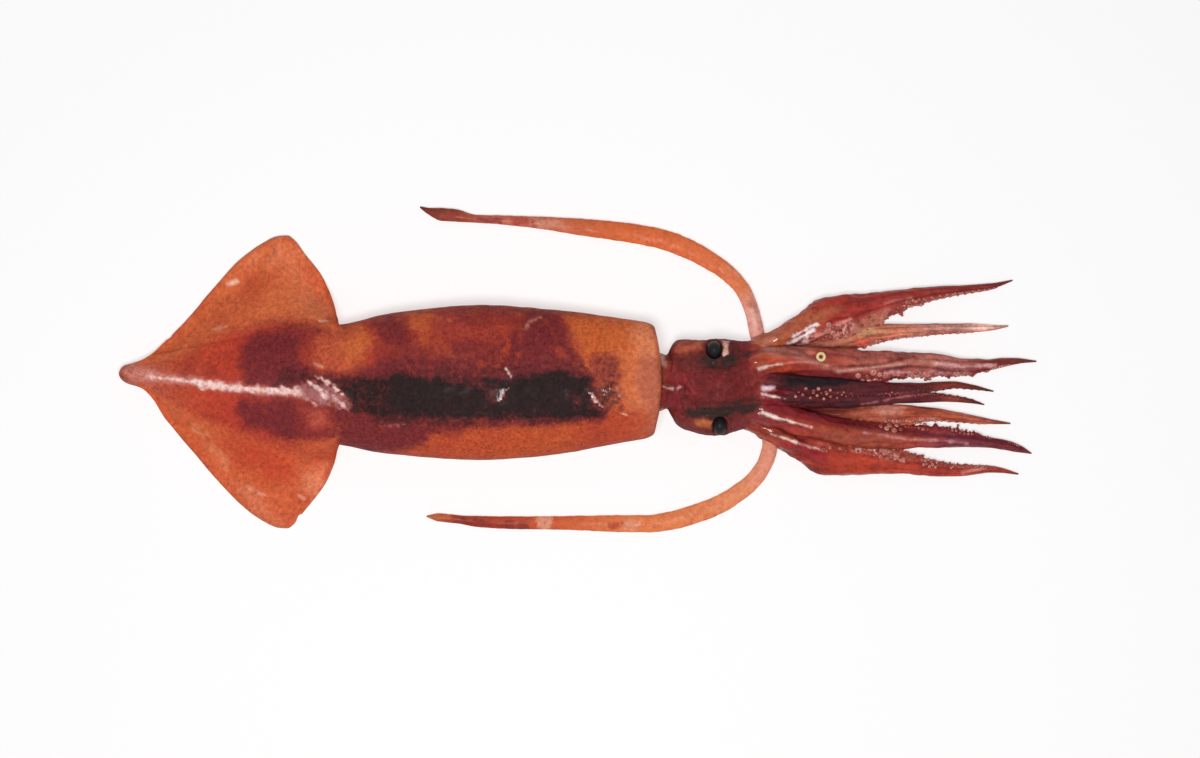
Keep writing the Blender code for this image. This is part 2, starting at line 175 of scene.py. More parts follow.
def evenRing(ring, counts, corners):
    # the same outline with evenly spaced points between its corner points
    pieces = []
    for count, start, end in zip(counts, corners, corners[1:]):
        part = ring[start:end + 1]
        lengths = np.concatenate([[0], np.cumsum(np.hypot(*np.diff(part[:, :2], axis=0).T))])
        at = np.linspace(0, lengths[-1], count + 1)[:-1]
        pieces.append(np.stack([np.interp(at, lengths, part[:, axis]) for axis in range(part.shape[1])], -1))
    return np.concatenate(pieces)


def linkPiece(name, mesh):
    piece = bpy.data.objects.new(name, mesh)
    bpy.context.scene.collection.objects.link(piece)
    return piece


def finishPiece(piece, material, node):
    piece.data.materials.clear()
    piece.data.materials.append(material)
    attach(piece, "root")
    if node:
        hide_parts(node)
    return piece


def storeLooks(mesh, paint, wet, flecks):
    # what the skin's material reads: colour, stain, ink, how wet it shines and how thickly it is speckled
    count = len(mesh.vertices)
    layer = mesh.color_attributes.new("paint", "FLOAT_COLOR", "POINT")
    rgba = np.ones((count, 4), np.float32)
    rgba[:, :3] = withEnds(paint["colour"], count)
    layer.data.foreach_set("color", rgba.ravel())
    for label, values in (("stain", paint["stain"]), ("ink", paint["ink"]), ("wet", wet), ("flecks", flecks)):
        layer = mesh.attributes.new(label, "FLOAT", "POINT")
        layer.data.foreach_set("value", withEnds(values, count).astype(np.float32))


def skinMesh(name, grid):
    # a closed skin over a grid of rings, with a point at the middle of each end ring
    rings, sides = grid.shape[:2]
    ends = np.stack([grid[0].mean(axis=0), grid[-1].mean(axis=0)])
    points = inMetres(np.concatenate([grid.reshape(-1, 3), ends]))
    here = np.arange(rings * sides).reshape(rings, sides)
    beside = np.roll(here, -1, axis=1)
    quads = np.stack([here[:-1], beside[:-1], beside[1:], here[1:]], axis=-1).reshape(-1, 4)
    faces = quads.tolist()
    first, last = rings * sides, rings * sides + 1
    faces += [[first, b, a] for a, b in zip(here[0].tolist(), beside[0].tolist())]
    faces += [[last, a, b] for a, b in zip(here[-1].tolist(), beside[-1].tolist())]
    mesh = bpy.data.meshes.new(name)
    mesh.from_pydata(points.tolist(), [], faces)
    mesh.shade_smooth()
    mesh.update()
    return mesh


def withEnds(values, count):
    # a value for each of a skin mesh's points, the middles of its end rings included
    if np.ndim(values) == 0:
        return np.full(count, float(values))
    if np.shape(values)[0] == count:
        return values
    flat = values.reshape(-1, *values.shape[2:])
    return np.concatenate([flat, values[0].mean(axis=0, keepdims=True), values[-1].mean(axis=0, keepdims=True)])


def addNode(tree, kind, inputs=None, **settings):
    node = tree.nodes.new(kind)
    for name, value in settings.items():
        setattr(node, name, value)
    for key, value in (inputs or {}).items():
        if isinstance(value, bpy.types.NodeSocket):
            tree.links.new(value, node.inputs[key])
        else:
            node.inputs[key].default_value = value
    return node


def wetSkin(name, look):
    # raw squid skin: thin, translucent and wet, stained and speckled by dark red pigment cells
    material = bpy.data.materials.new(name)
    material.use_nodes = True
    tree = material.node_tree
    shader = tree.nodes["Principled BSDF"]
    where = addNode(tree, "ShaderNodeTexCoord").outputs["Object"]
    layers = {}
    for label in ("stain", "ink", "wet", "flecks"):
        layers[label] = addNode(tree, "ShaderNodeAttribute", attribute_name=label).outputs["Fac"]
    skin = addNode(tree, "ShaderNodeAttribute", attribute_name="paint").outputs["Color"]
    # reddish mottling in the plain skin, left out where the wet attribute is high: on the wettest film and on the
    # painted highlight lines, which stay pale
    hidden = addNode(tree, "ShaderNodeMapRange", {
        "Value": layers["wet"], "From Min": 0.75, "To Min": look["blushAmount"], "To Max": 0.0})
    mottle = addNode(tree, "ShaderNodeTexNoise", {
        "Vector": where, "Scale": 1 / look["blushSize"], "Detail": 5.0, "Roughness": 0.68, "Distortion": 0.5})
    blush = addNode(tree, "ShaderNodeMapRange", {
        "Value": mottle.outputs["Fac"], "From Min": 0.42, "From Max": 0.68, "To Max": hidden.outputs["Result"]})
    skin = addNode(tree, "ShaderNodeMix", {
        "Factor": blush.outputs["Result"], 6: skin, 7: (*toLinear(look["blushTone"]), 1.0)},
        data_type="RGBA").outputs[2]
    # dark red stain and black ink, both with grainy soft edges
    grain = addNode(tree, "ShaderNodeTexNoise", {
        "Vector": where, "Scale": 1 / look["stainGrain"], "Detail": 6.0, "Roughness": 0.72, "Distortion": 0.4})
    ragged = addNode(tree, "ShaderNodeMath", {
        0: grain.outputs["Fac"], 1: look["raggedness"], 2: -0.5 * look["raggedness"]}, operation="MULTIPLY_ADD")
    for layer, full in (("stain", 0.98), ("ink", 0.82)):
        edge = addNode(tree, "ShaderNodeMath", {0: layers[layer], 1: ragged.outputs[0]}, operation="ADD")
        cover = addNode(tree, "ShaderNodeMapRange", {
            "Value": edge.outputs[0], "From Min": 0.1, "From Max": full, "To Max": 0.97})
        skin = addNode(tree, "ShaderNodeMix", {
            "Factor": cover.outputs["Result"], 6: skin, 7: (*toLinear(look[layer + "Tone"]), 1.0)},
            data_type="RGBA").outputs[2]
    clouds = addNode(tree, "ShaderNodeTexNoise", {
        "Vector": where, "Scale": 1 / look["cloudSize"], "Detail": 5.0, "Roughness": 0.62})
    shade = addNode(tree, "ShaderNodeMapRange", {
        "Value": clouds.outputs["Fac"], "From Min": 0.3, "From Max": 0.7,
        "To Min": 1 - look["cloudDepth"], "To Max": 1 + look["cloudDepth"]})
    skin = addNode(tree, "ShaderNodeHueSaturation", {"Color": skin, "Value": shade.outputs["Result"]}).outputs[0]
    # round pigment cells
    for size, radius, strength in look["fleckRows"]:
        cells = addNode(tree, "ShaderNodeTexVoronoi", {"Vector": where, "Scale": 1 / size})
        dot = addNode(tree, "ShaderNodeMapRange", {
            "Value": cells.outputs["Distance"], "From Min": radius * 1.3, "From Max": radius * 0.5,
            "To Max": strength})
        amount = addNode(tree, "ShaderNodeMath", {0: dot.outputs["Result"], 1: layers["flecks"]},
                         operation="MULTIPLY")
        skin = addNode(tree, "ShaderNodeMix", {
            "Factor": amount.outputs[0], 6: skin, 7: (*look["fleckTint"], 1.0)},
            data_type="RGBA", blend_type="MULTIPLY").outputs[2]
    tree.links.new(skin, shader.inputs["Base Color"])
    film = addNode(tree, "ShaderNodeTexNoise", {
        "Vector": where, "Scale": 1 / look["filmSize"], "Detail": 3.0, "Roughness": 0.5})
    dry = addNode(tree, "ShaderNodeMapRange", {
        "Value": film.outputs["Fac"], "From Min": 0.35, "From Max": 0.65,
        "To Min": look["roughness"][0], "To Max": look["roughness"][1]})
    slick = addNode(tree, "ShaderNodeMath", {0: layers["wet"], 1: -0.12, 2: dry.outputs["Result"]},
                    operation="MULTIPLY_ADD")
    tree.links.new(slick.outputs[0], shader.inputs["Roughness"])
    tree.links.new(layers["wet"], shader.inputs["Coat Weight"])
    shader.inputs["Coat Roughness"].default_value = look["coatRoughness"]
    shader.inputs["Coat IOR"].default_value = look["filmIor"]
    shader.inputs["IOR"].default_value = 1.38         # wet protein
    shader.inputs["Specular IOR Level"].default_value = look["specular"]
    shader.inputs["Subsurface Weight"].default_value = look["glow"]
    shader.inputs["Subsurface Radius"].default_value = (1.0, 0.32, 0.16)
    shader.inputs["Subsurface Scale"].default_value = look["glowDepth"]
    wrinkles = addNode(tree, "ShaderNodeTexNoise", {
        "Vector": where, "Scale": 1 / look["wrinkleSize"], "Detail": 4.0, "Roughness": 0.6, "Distortion": 0.6})
    bump = addNode(tree, "ShaderNodeBump", {
        "Height": wrinkles.outputs["Fac"], "Strength": look["wrinkleStrength"], "Distance": look["wrinkleSize"]})
    tree.links.new(bump.outputs["Normal"], shader.inputs["Normal"])    # the water film over it stays smooth
    return material


# Mantle skin: a wet speckled tube with two thin fins and an open front edge.
mantleSkin = {
    "halfWidth": (
        (0.0, 0.0035), (0.004, 0.0105), (0.011, 0.016), (0.023, 0.0205), (0.041, 0.0255), (0.085, 0.039),
        (0.188, 0.075), (0.29, 0.097), (0.40, 0.109), (0.51, 0.131), (0.67, 0.1433), (0.80, 0.134),
        (0.93, 0.115), (0.98, 0.1085), (1.0, 0.104)),
    "finReach": (
        (0.023, 0.02), (0.041, 0.0275), (0.063, 0.045), (0.085, 0.072), (0.129, 0.121), (0.174, 0.174),
        (0.218, 0.222), (0.262, 0.2555), (0.295, 0.2695), (0.310, 0.2705), (0.324, 0.2615), (0.340, 0.2405),
        (0.379, 0.1885), (0.396, 0.1525), (0.407, 0.1235), (0.420, 0.1105)),
    "top": (
        (0.0, 0.024), (0.011, 0.033), (0.041, 0.044), (0.129, 0.066), (0.29, 0.104), (0.42, 0.128),
        (0.55, 0.146), (0.68, 0.152), (0.80, 0.147), (0.93, 0.137), (1.0, 0.130)),
    "belly": ((0.0, 0.016), (0.011, 0.008), (0.041, 0.003), (0.085, 0.0), (1.0, 0.0)),
    "sway": (
        (0.0, 0.0176), (0.041, 0.0166), (0.063, 0.013), (0.085, 0.0055), (0.129, 0.002), (0.36, 0.002),
        (0.42, -0.0035), (0.55, -0.0005), (0.80, 0.002), (1.0, 0.005)),
    "widestLevel": 0.42, "bellyFlatness": 1.12, "finRootAngle": 30.0, "finRootThickness": 0.026,
    "finEdgeHeight": 0.0045, "wall": 0.015, "setback": 0.014, "collarDepth": 0.035,
    "rings": 250, "sidesBelow": 46, "sidesAbove": 72,
}


def mantleSide(at, inset=0.0):
    # one side of the section, from the belly's middle over the fin's edge to the back's middle
    s = mantleSkin
    halfWidth = through(s["halfWidth"], at) - inset
    top, belly = through(s["top"], at) - inset, through(s["belly"], at) + inset
    root = s["finRootAngle"]
    degrees = np.concatenate([np.linspace(-90, root, 260), np.linspace(root, 90, 260)[1:]])
    turn = np.radians(degrees)
    middle = belly + s["widestLevel"] * (top - belly)
    across = halfWidth * np.maximum(np.cos(turn), 0) ** 0.88
    low = np.maximum(belly, middle + s["bellyFlatness"] * (middle - belly) * np.sin(turn))
    height = np.where(turn >= 0, middle + (top - middle) * np.sin(turn), low)
    fins = s["finReach"]
    extra = max(0.0, through(fins, at) - halfWidth) if fins[0][0] < at < fins[-1][0] else 0.0
    extra += halfWidth * (1 - math.cos(math.radians(root)) ** 0.88) * softStep(0, 0.03, extra)
    rootLift = (1 - s["widestLevel"]) * (top - belly) * math.cos(math.radians(root))
    spread = min(40.0, math.degrees(s["finRootThickness"] / 2 / rootLift))
    out = np.where(np.abs(degrees - root) < spread, 0.5 + 0.5 * np.cos(np.pi * (degrees - root) / spread), 0)
    droop = min(middle + (top - middle) * math.sin(math.radians(root)) - s["finEdgeHeight"], 0.8 * extra)
    across = across + extra * out
    height = height - droop * softStep(0, 0.8, out)
    edge = 259
    above = np.interp(across[:edge], across[edge:][::-1], height[edge:][::-1])
    gap = np.minimum(0.004, 0.15 * (across[edge] - across[:edge]))
    height[:edge] = np.minimum(height[:edge], np.maximum(above - gap, belly))    # under the fin's upper face
    finShare = out * (extra > 0.001)
    return np.stack([across, height, finShare], axis=-1)


def mantleRing(at, inset=0.0, front=None):
    s = mantleSkin
    side = mantleSide(at, inset)
    edge = 259
    left = evenRing(side, (s["sidesBelow"], s["sidesAbove"]), (0, edge, len(side) - 1))
    mirrored = side[::-1] * (-1, 1, 1)
    right = evenRing(mirrored, (s["sidesAbove"], s["sidesBelow"]), (0, len(side) - 1 - edge, len(side) - 1))
    ring = np.concatenate([left, right])
    halfWidth = through(s["halfWidth"], at)
    setback = s["setback"] * softStep(0.9, 1.0, at) * (ring[:, 0] / halfWidth) ** 2
    x = (at if front is None else front) - setback
    sway = through(s["sway"], at)
    return np.stack([x, ring[:, 0] + sway, ring[:, 1], ring[:, 2]], axis=-1)


def mantleGrid():
    s = mantleSkin
    stations = np.concatenate([
        0.041 * np.linspace(0, 1, 16)[:-1] ** 1.4, np.linspace(0.041, 0.43, 110)[:-1],
        np.linspace(0.43, 0.985, s["rings"] - 125)])
    rings = [mantleRing(at) for at in stations]
    for at, inset in ((0.991, 0.0006), (0.996, 0.002), (0.9995, 0.0045), (1.0, 0.0075), (0.998, 0.011),
                      (0.993, 0.0135), (0.985, 0.015)):
        rings.append(mantleRing(at, inset))
    for at in np.linspace(0.975, 1 - s["collarDepth"], 6):
        rings.append(mantleRing(at, s["wall"]))
    return np.array(rings)


# Where the mantle's skin is creased, ridged or nicked, seen from above.
mantleFolds = (
    {"line": ((0.030, 0.017), (0.092, 0.009), (0.148, 0.004), (0.200, -0.006), (0.262, -0.011),
        (0.333, -0.015)), "width": 0.024, "lift": 0.0015},
    {"line": ((0.416, -0.004), (0.555, -0.009), (0.739, -0.011), (0.924, -0.007),
        (0.989, -0.002)), "width": 0.0333, "lift": 0.0008},
    {"line": ((0.070, 0.057), (0.140, 0.070), (0.205, 0.081), (0.283, 0.102), (0.340, 0.111),
        (0.407, 0.118)), "width": 0.0055, "lift": -0.0024},
    {"line": ((0.074, -0.026), (0.140, -0.054), (0.213, -0.076), (0.287, -0.094), (0.351, -0.109),
        (0.407, -0.118)), "width": 0.0055, "lift": -0.0020},
    {"line": ((0.416, 0.092), (0.423, 0.070), (0.416, 0.048),
        (0.403, 0.028)), "width": 0.0055, "lift": -0.0020},
    {"line": ((0.725, 0.028), (0.719, 0.009), (0.710, -0.013),
        (0.704, -0.033)), "width": 0.0046, "lift": 0.0010},
    {"line": ((0.872, -0.018), (0.882, -0.031), (0.893, -0.046)), "width": 0.0055, "lift": 0.0010},
)
mantleCrumples = (
    {"outline": ((0.325, 0.009), (0.373, 0.017), (0.410, 0.006), (0.440, -0.031), (0.436, -0.054),
        (0.399, -0.046), (0.355, -0.035), (0.325, -0.020)), "lift": 0.0032},
    {"outline": ((0.863, -0.013), (0.884, -0.006), (0.924, -0.009), (0.928, -0.028), (0.895, -0.052),
        (0.872, -0.043)), "lift": 0.0020},
    {"outline": ((0.477, -0.070), (0.536, -0.067), (0.540, -0.085), (0.484, -0.087)), "lift": 0.0008},
)
finNicks = (
    {"at": (0.331, -0.251), "reach": 0.013, "depth": 0.010},
    {"at": (0.094, 0.085), "reach": 0.010, "depth": 0.004},
    {"at": (0.381, 0.177), "reach": 0.008, "depth": 0.003},
    {"at": (0.172, -0.157), "reach": 0.009, "depth": 0.003},
)


def shapeMantle(grid):
    # adds the unevenness of a soft animal to the plain section
    share = grid[..., 3]
    points = grid[..., :3].copy()
    x, y = points[..., 0], points[..., 1]
    up = softStep(0.0, 0.5, outward(points)[..., 2])
    side = np.sign(y - through(mantleSkin["sway"], x))
    waves = np.sin(x * 61 + side * 1.7) + 0.8 * np.sin(x * 103 + side * 4.1)
    points[..., 2] += 0.0022 * share ** 2 * (waves + 1.2)
    body = 1 - share
    lift = body * (0.0013 * cloud(points, 0.10, 3) - 0.0006 + 0.0005 * cloud(points, 0.022, 5, 2))
    lift += share * 0.0007 * cloud(points, 0.05, 7)
    for fold in mantleFolds:
        distance = lineDistance(x, y, fold["line"])
        lift += up * fold["lift"] * np.exp(-(distance / (fold["width"] / 2)) ** 2)
    for number, crumple in enumerate(mantleCrumples):
        mask = up * softStep(-0.012, 0.014, depthInside(x, y, crumple["outline"]))
        turned = np.stack([x * 0.4 - y * 0.4, x + y, 0 * x], axis=-1)
        ridges = 1 - np.abs(cloud(turned, 0.016, 11 + number, 3))
        lift += mask * crumple["lift"] * (ridges - 0.5)
    points += outward(points) * lift[..., None]
    for nick in finNicks:
        distance = np.hypot(points[..., 0] - nick["at"][0], points[..., 1] - nick["at"][1])
        pull = nick["depth"] * np.clip(1 - distance / nick["reach"], 0, 1) ** 2
        points[..., 1] -= np.sign(points[..., 1]) * pull
    points[..., 2] = np.clip(points[..., 2], 0.0, 0.1555)
    return points


finPatches = (
    {"tone": "#df8058", "soft": 0.0185, "amount": 0.8, "ragged": 0.01, "outline": (
        (0.233, 0.235), (0.262, 0.246), (0.262, 0.224), (0.233, 0.213))},
    {"tone": "#e07c54", "soft": 0.0222, "amount": 0.8, "outline": (
        (0.307, 0.257), (0.333, 0.238), (0.370, 0.172), (0.396, 0.131), (0.373, 0.128), (0.338, 0.168),
        (0.307, 0.216))},
    {"tone": "#bd5034", "soft": 0.0185, "amount": 0.7, "ragged": 0.012, "outline": (
        (0.226, 0.205), (0.262, 0.213), (0.288, 0.187), (0.262, 0.153), (0.222, 0.161))},
    {"tone": "#c24e2e", "soft": 0.0148, "amount": 0.5, "ragged": 0.012, "outline": (
        (0.329, 0.220), (0.362, 0.213), (0.373, 0.183), (0.340, 0.190))},
    {"tone": "#d98466", "soft": 0.0129, "amount": 0.6, "ragged": 0.01, "outline": (
        (0.274, 0.246), (0.296, 0.257), (0.311, 0.231), (0.281, 0.220))},
    {"tone": "#c2704e", "soft": 0.0166, "amount": 0.7, "ragged": 0.01, "outline": (
        (0.325, 0.153), (0.373, 0.161), (0.399, 0.128), (0.355, 0.116))},
    {"tone": "#bb5c3a", "soft": 0.0111, "amount": 0.5, "ragged": 0.01, "outline": (
        (0.148, 0.079), (0.207, 0.096), (0.296, 0.116), (0.299, 0.109), (0.240, 0.094), (0.159, 0.072))},
    {"tone": "#c0472e", "soft": 0.0259, "amount": 0.85, "ragged": 0.012, "outline": (
        (0.196, -0.109), (0.262, -0.105), (0.325, -0.128), (0.333, -0.172), (0.277, -0.183),
        (0.222, -0.150))},
    {"tone": "#b04c36", "soft": 0.0185, "amount": 0.7, "outline": (
        (0.307, -0.109), (0.410, -0.120), (0.399, -0.139), (0.333, -0.142))},
    {"tone": "#e48c68", "soft": 0.0166, "amount": 0.8, "ragged": 0.01, "outline": (
        (0.340, -0.161), (0.392, -0.150), (0.388, -0.179), (0.366, -0.209), (0.340, -0.194))},
    {"tone": "#d8805c", "soft": 0.0129, "amount": 0.6, "ragged": 0.01, "outline": (
        (0.214, -0.183), (0.244, -0.198), (0.274, -0.231), (0.299, -0.257), (0.262, -0.246),
        (0.229, -0.213))},
    # the pale thin strokes below are painted glints on the fins
    {"tone": "#e0946c", "soft": 0.0074, "amount": 0.45, "ragged": 0.008, "grain": 0.012, "line": (
        (0.140, -0.083), (0.159, -0.094)), "width": 0.0111},
    {"tone": "#e29a74", "soft": 0.0074, "amount": 0.4, "ragged": 0.008, "grain": 0.012, "line": (
        (0.166, -0.120), (0.189, -0.135), (0.196, -0.153)), "width": 0.0111},
    {"tone": "#f2bea6", "soft": 0.0026, "amount": 0.8, "ragged": 0.003, "line": (
        (0.201, 0.183), (0.216, 0.187)), "width": 0.0055},
    {"tone": "#eeb49c", "soft": 0.0026, "amount": 0.6, "ragged": 0.005, "grain": 0.01, "line": (
        (0.233, -0.190), (0.251, -0.200), (0.272, -0.209)), "width": 0.0048},
    {"tone": "#f2bba2", "soft": 0.0026, "amount": 0.7, "ragged": 0.004, "line": (
        (0.331, -0.207), (0.344, -0.216)), "width": 0.0048},
    {"tone": "#e8a88e", "soft": 0.0026, "amount": 0.5, "line": ((0.172, 0.098),
        (0.200, 0.104)), "width": 0.0033},
    # a darker line painted along the fin-root groove: painted shade in the crease
    {"tone": "#8c3a28", "soft": 0.0046, "amount": 0.5, "line": (
        (0.070, 0.057), (0.140, 0.070), (0.205, 0.081), (0.283, 0.102), (0.340, 0.111),
        (0.407, 0.118)), "width": 0.0055},
)
bodyPatches = (
    # tail and fin zone
    {"tone": "#c98070", "soft": 0.0111, "amount": 0.85, "outline": (
        (0.011, 0.022), (0.030, 0.028), (0.059, 0.024), (0.074, 0.009), (0.048, 0.002), (0.018, 0.009))},
    {"tone": "#94402f", "soft": 0.0055, "amount": 0.6, "line": ((0.004, 0.026), (0.022, 0.039),
        (0.048, 0.048)), "width": 0.0055},
    {"tone": "#94402f", "soft": 0.0055, "amount": 0.6, "line": ((0.004, 0.015), (0.022, -0.002),
        (0.055, -0.017)), "width": 0.0055},
    {"stain": 0.95, "soft": 0.0148, "ragged": 0.010, "outline": (
        (0.229, 0.068), (0.262, 0.089), (0.333, 0.102), (0.403, 0.115), (0.407, 0.105), (0.359, 0.087),
        (0.338, 0.065), (0.333, 0.039), (0.373, 0.013), (0.333, -0.006), (0.244, -0.006), (0.222, 0.031))},
    {"stain": 0.5, "soft": 0.0129, "ragged": 0.006, "outline": (
        (0.314, 0.105), (0.418, 0.122), (0.421, 0.102), (0.366, 0.094), (0.318, 0.091))},
    {"tone": "#bd5a3c", "soft": 0.0203, "amount": 0.95, "ragged": 0.007, "outline": (
        (0.370, 0.072), (0.396, 0.087), (0.429, 0.087), (0.429, 0.028), (0.396, 0.020), (0.366, 0.039))},
    {"stain": 1.0, "soft": 0.0166, "ragged": 0.008, "outline": (
        (0.277, 0.020), (0.340, 0.031), (0.377, 0.017), (0.429, 0.009), (0.436, -0.024), (0.370, -0.020),
        (0.277, -0.013))},
    {"ink": 0.45, "soft": 0.0166, "ragged": 0.009, "outline": (
        (0.303, 0.020), (0.344, 0.028), (0.416, 0.009), (0.433, -0.020), (0.373, -0.009), (0.296, -0.002))},
    {"stain": 0.95, "soft": 0.0166, "ragged": 0.012, "outline": (
        (0.233, -0.035), (0.266, -0.024), (0.333, -0.028), (0.421, -0.050), (0.425, -0.116),
        (0.351, -0.107), (0.281, -0.096), (0.237, -0.083), (0.214, -0.057))},
    {"tone": "#a64038", "soft": 0.0166, "amount": 0.6, "ragged": 0.009, "outline": (
        (0.336, -0.046), (0.396, -0.050), (0.403, -0.083), (0.344, -0.087))},
    {"tone": "#bf5f4c", "soft": 0.0111, "amount": 0.5, "ragged": 0.009, "outline": (
        (0.359, -0.052), (0.384, -0.048), (0.388, -0.072), (0.362, -0.078))},
    # upper side of the mantle
    {"tone": "#cc6a3a", "soft": 0.0129, "amount": 0.85, "ragged": 0.014, "grain": 0.02, "outline": (
        (0.421, 0.083), (0.447, 0.094), (0.466, 0.068), (0.451, 0.035), (0.421, 0.031))},
    {"tone": "#c26036", "soft": 0.0092, "amount": 0.85, "ragged": 0.014, "grain": 0.02, "outline": (
        (0.540, 0.124), (0.573, 0.131), (0.591, 0.113), (0.569, 0.098), (0.543, 0.102))},
    {"tone": "#a03f34", "soft": 0.0166, "amount": 0.7, "ragged": 0.012, "outline": (
        (0.573, 0.113), (0.647, 0.116), (0.680, 0.091), (0.632, 0.076), (0.584, 0.083))},
    {"stain": 0.8, "soft": 0.0129, "ragged": 0.014, "grain": 0.02, "outline": (
        (0.473, 0.113), (0.506, 0.124), (0.540, 0.105), (0.536, 0.057), (0.499, 0.061))},
    {"stain": 0.5, "soft": 0.0111, "ragged": 0.014, "grain": 0.02, "outline": (
        (0.603, 0.139), (0.665, 0.146), (0.725, 0.139), (0.702, 0.109), (0.647, 0.105))},
    {"stain": 0.7, "soft": 0.0074, "ragged": 0.01, "grain": 0.02, "outline": (
        (0.684, 0.140), (0.739, 0.139), (0.813, 0.129), (0.824, 0.113), (0.791, 0.120), (0.739, 0.128),
        (0.699, 0.126))},
    {"stain": 0.6, "soft": 0.0092, "ragged": 0.014, "grain": 0.02, "outline": (
        (0.603, 0.057), (0.632, 0.083), (0.658, 0.087), (0.677, 0.061), (0.654, 0.043), (0.614, 0.039))},
    {"tone": "#a03d30", "soft": 0.0111, "amount": 0.8, "ragged": 0.012, "grain": 0.02, "outline": (
        (0.684, 0.098), (0.713, 0.113), (0.728, 0.094), (0.717, 0.061), (0.699, 0.039), (0.680, 0.061))},
    {"stain": 0.85, "soft": 0.0259, "ragged": 0.008, "outline": (
        (0.488, 0.043), (0.555, 0.061), (0.665, 0.061), (0.732, 0.079), (0.791, 0.068), (0.858, 0.031),
        (0.876, -0.017), (0.488, -0.020))},
    {"stain": 0.9, "soft": 0.0129, "ragged": 0.008, "outline": (
        (0.725, 0.087), (0.750, 0.120), (0.791, 0.131), (0.817, 0.105), (0.839, 0.065), (0.869, 0.013),
        (0.758, 0.013), (0.717, 0.050))},
    {"tone": "#b44a2c", "soft": 0.0037, "amount": 0.6, "ragged": 0.008, "grain": 0.015, "line": (
        (0.710, 0.098), (0.721, 0.072), (0.702, 0.031)), "width": 0.0092},
    {"tone": "#b0442c", "soft": 0.0037, "amount": 0.5, "ragged": 0.008, "grain": 0.015, "line": (
        (0.787, 0.116), (0.806, 0.087), (0.817, 0.050)), "width": 0.0074},
    {"tone": "#a8402e", "soft": 0.0037, "amount": 0.5, "ragged": 0.008, "grain": 0.015, "line": (
        (0.739, 0.105), (0.747, 0.079), (0.736, 0.043)), "width": 0.0055},
    {"tone": "#b24a2c", "soft": 0.0037, "amount": 0.5, "ragged": 0.008, "grain": 0.015, "line": (
        (0.658, 0.087), (0.673, 0.065), (0.669, 0.031)), "width": 0.0055},
    {"tone": "#b24c30", "soft": 0.0037, "amount": 0.45, "ragged": 0.008, "grain": 0.015, "line": (
        (0.573, 0.094), (0.599, 0.076), (0.614, 0.054)), "width": 0.0074},
    {"tone": "#ca6534", "soft": 0.0074, "amount": 0.85, "ragged": 0.006, "outline": (
        (0.824, 0.124), (0.887, 0.124), (0.961, 0.113), (0.954, 0.061), (0.898, 0.063), (0.872, 0.039),
        (0.852, 0.067))},
    {"stain": 0.75, "soft": 0.0148, "ragged": 0.014, "grain": 0.02, "outline": (
        (0.867, 0.039), (0.895, 0.054), (0.921, 0.046), (0.928, 0.006), (0.924, -0.039), (0.887, -0.050),
        (0.865, -0.031))},
    {"tone": "#b8582f", "soft": 0.0037, "amount": 0.8, "ragged": 0.004, "line": (
        (0.850, 0.068), (0.861, 0.043), (0.872, 0.013)), "width": 0.0074},
    # dark stripe over the gladius, and the skin below it
    {"stain": 1.0, "soft": 0.0148, "ragged": 0.007, "outline": (
        (0.414, -0.024), (0.518, -0.039), (0.702, -0.046), (0.898, -0.043), (0.891, -0.065),
        (0.813, -0.072), (0.710, -0.078), (0.640, -0.085), (0.588, -0.100), (0.525, -0.126),
        (0.462, -0.137), (0.416, -0.124))},
    {"stain": 0.95, "soft": 0.0074, "ragged": 0.006, "grain": 0.02, "line": (
        (0.510, -0.074), (0.591, -0.078), (0.665, -0.070), (0.776, -0.065),
        (0.895, -0.057)), "width": 0.0166},
    {"stain": 1.0, "soft": 0.0092, "ragged": 0.006, "grain": 0.02, "outline": (
        (0.492, 0.020), (0.591, 0.024), (0.739, 0.024), (0.880, 0.020), (0.887, -0.057), (0.739, -0.061),
        (0.492, -0.061))},
    {"ink": 0.55, "soft": 0.0129, "ragged": 0.008, "outline": (
        (0.466, -0.043), (0.591, -0.046), (0.739, -0.050), (0.895, -0.046), (0.891, -0.067),
        (0.776, -0.074), (0.647, -0.076), (0.536, -0.079), (0.470, -0.072))},
    {"ink": 0.25, "soft": 0.0166, "ragged": 0.008, "outline": (
        (0.495, 0.039), (0.591, 0.043), (0.702, 0.039), (0.813, 0.043), (0.869, 0.031), (0.869, 0.006),
        (0.495, 0.006))},
    {"stain": 1.0, "soft": 0.0148, "ragged": 0.008, "outline": (
        (0.388, 0.020), (0.466, 0.031), (0.525, 0.035), (0.529, -0.068), (0.466, -0.068), (0.399, -0.054))},
    {"ink": 0.74, "soft": 0.0129, "ragged": 0.009, "grain": 0.02, "outline": (
        (0.407, 0.006), (0.466, 0.011), (0.525, 0.017), (0.529, -0.055), (0.466, -0.057), (0.414, -0.043))},
    {"ink": 0.5, "soft": 0.0148, "ragged": 0.009, "outline": (
        (0.861, -0.002), (0.898, 0.002), (0.917, -0.020), (0.906, -0.050), (0.865, -0.054))},
    {"ink": 1.0, "soft": 0.0111, "ragged": 0.007, "outline": (
        (0.510, 0.011), (0.555, 0.013), (0.610, 0.009), (0.702, 0.009), (0.813, 0.017), (0.865, 0.011),
        (0.872, -0.024), (0.865, -0.052), (0.776, -0.057), (0.647, -0.057), (0.532, -0.052),
        (0.503, -0.031))},
    {"ink": 0.45, "soft": 0.0092, "amount": 0.8, "ragged": 0.010, "grain": 0.02, "outline": (
        (0.591, 0.020), (0.658, 0.017), (0.673, -0.002), (0.640, -0.009), (0.599, -0.002))},
    {"ink": 0.5, "soft": 0.0074, "amount": 0.8, "ragged": 0.010, "grain": 0.02, "outline": (
        (0.665, -0.013), (0.702, -0.002), (0.713, -0.035), (0.680, -0.046))},
    {"ink": 0.55, "soft": 0.0074, "amount": 0.7, "ragged": 0.010, "grain": 0.02, "outline": (
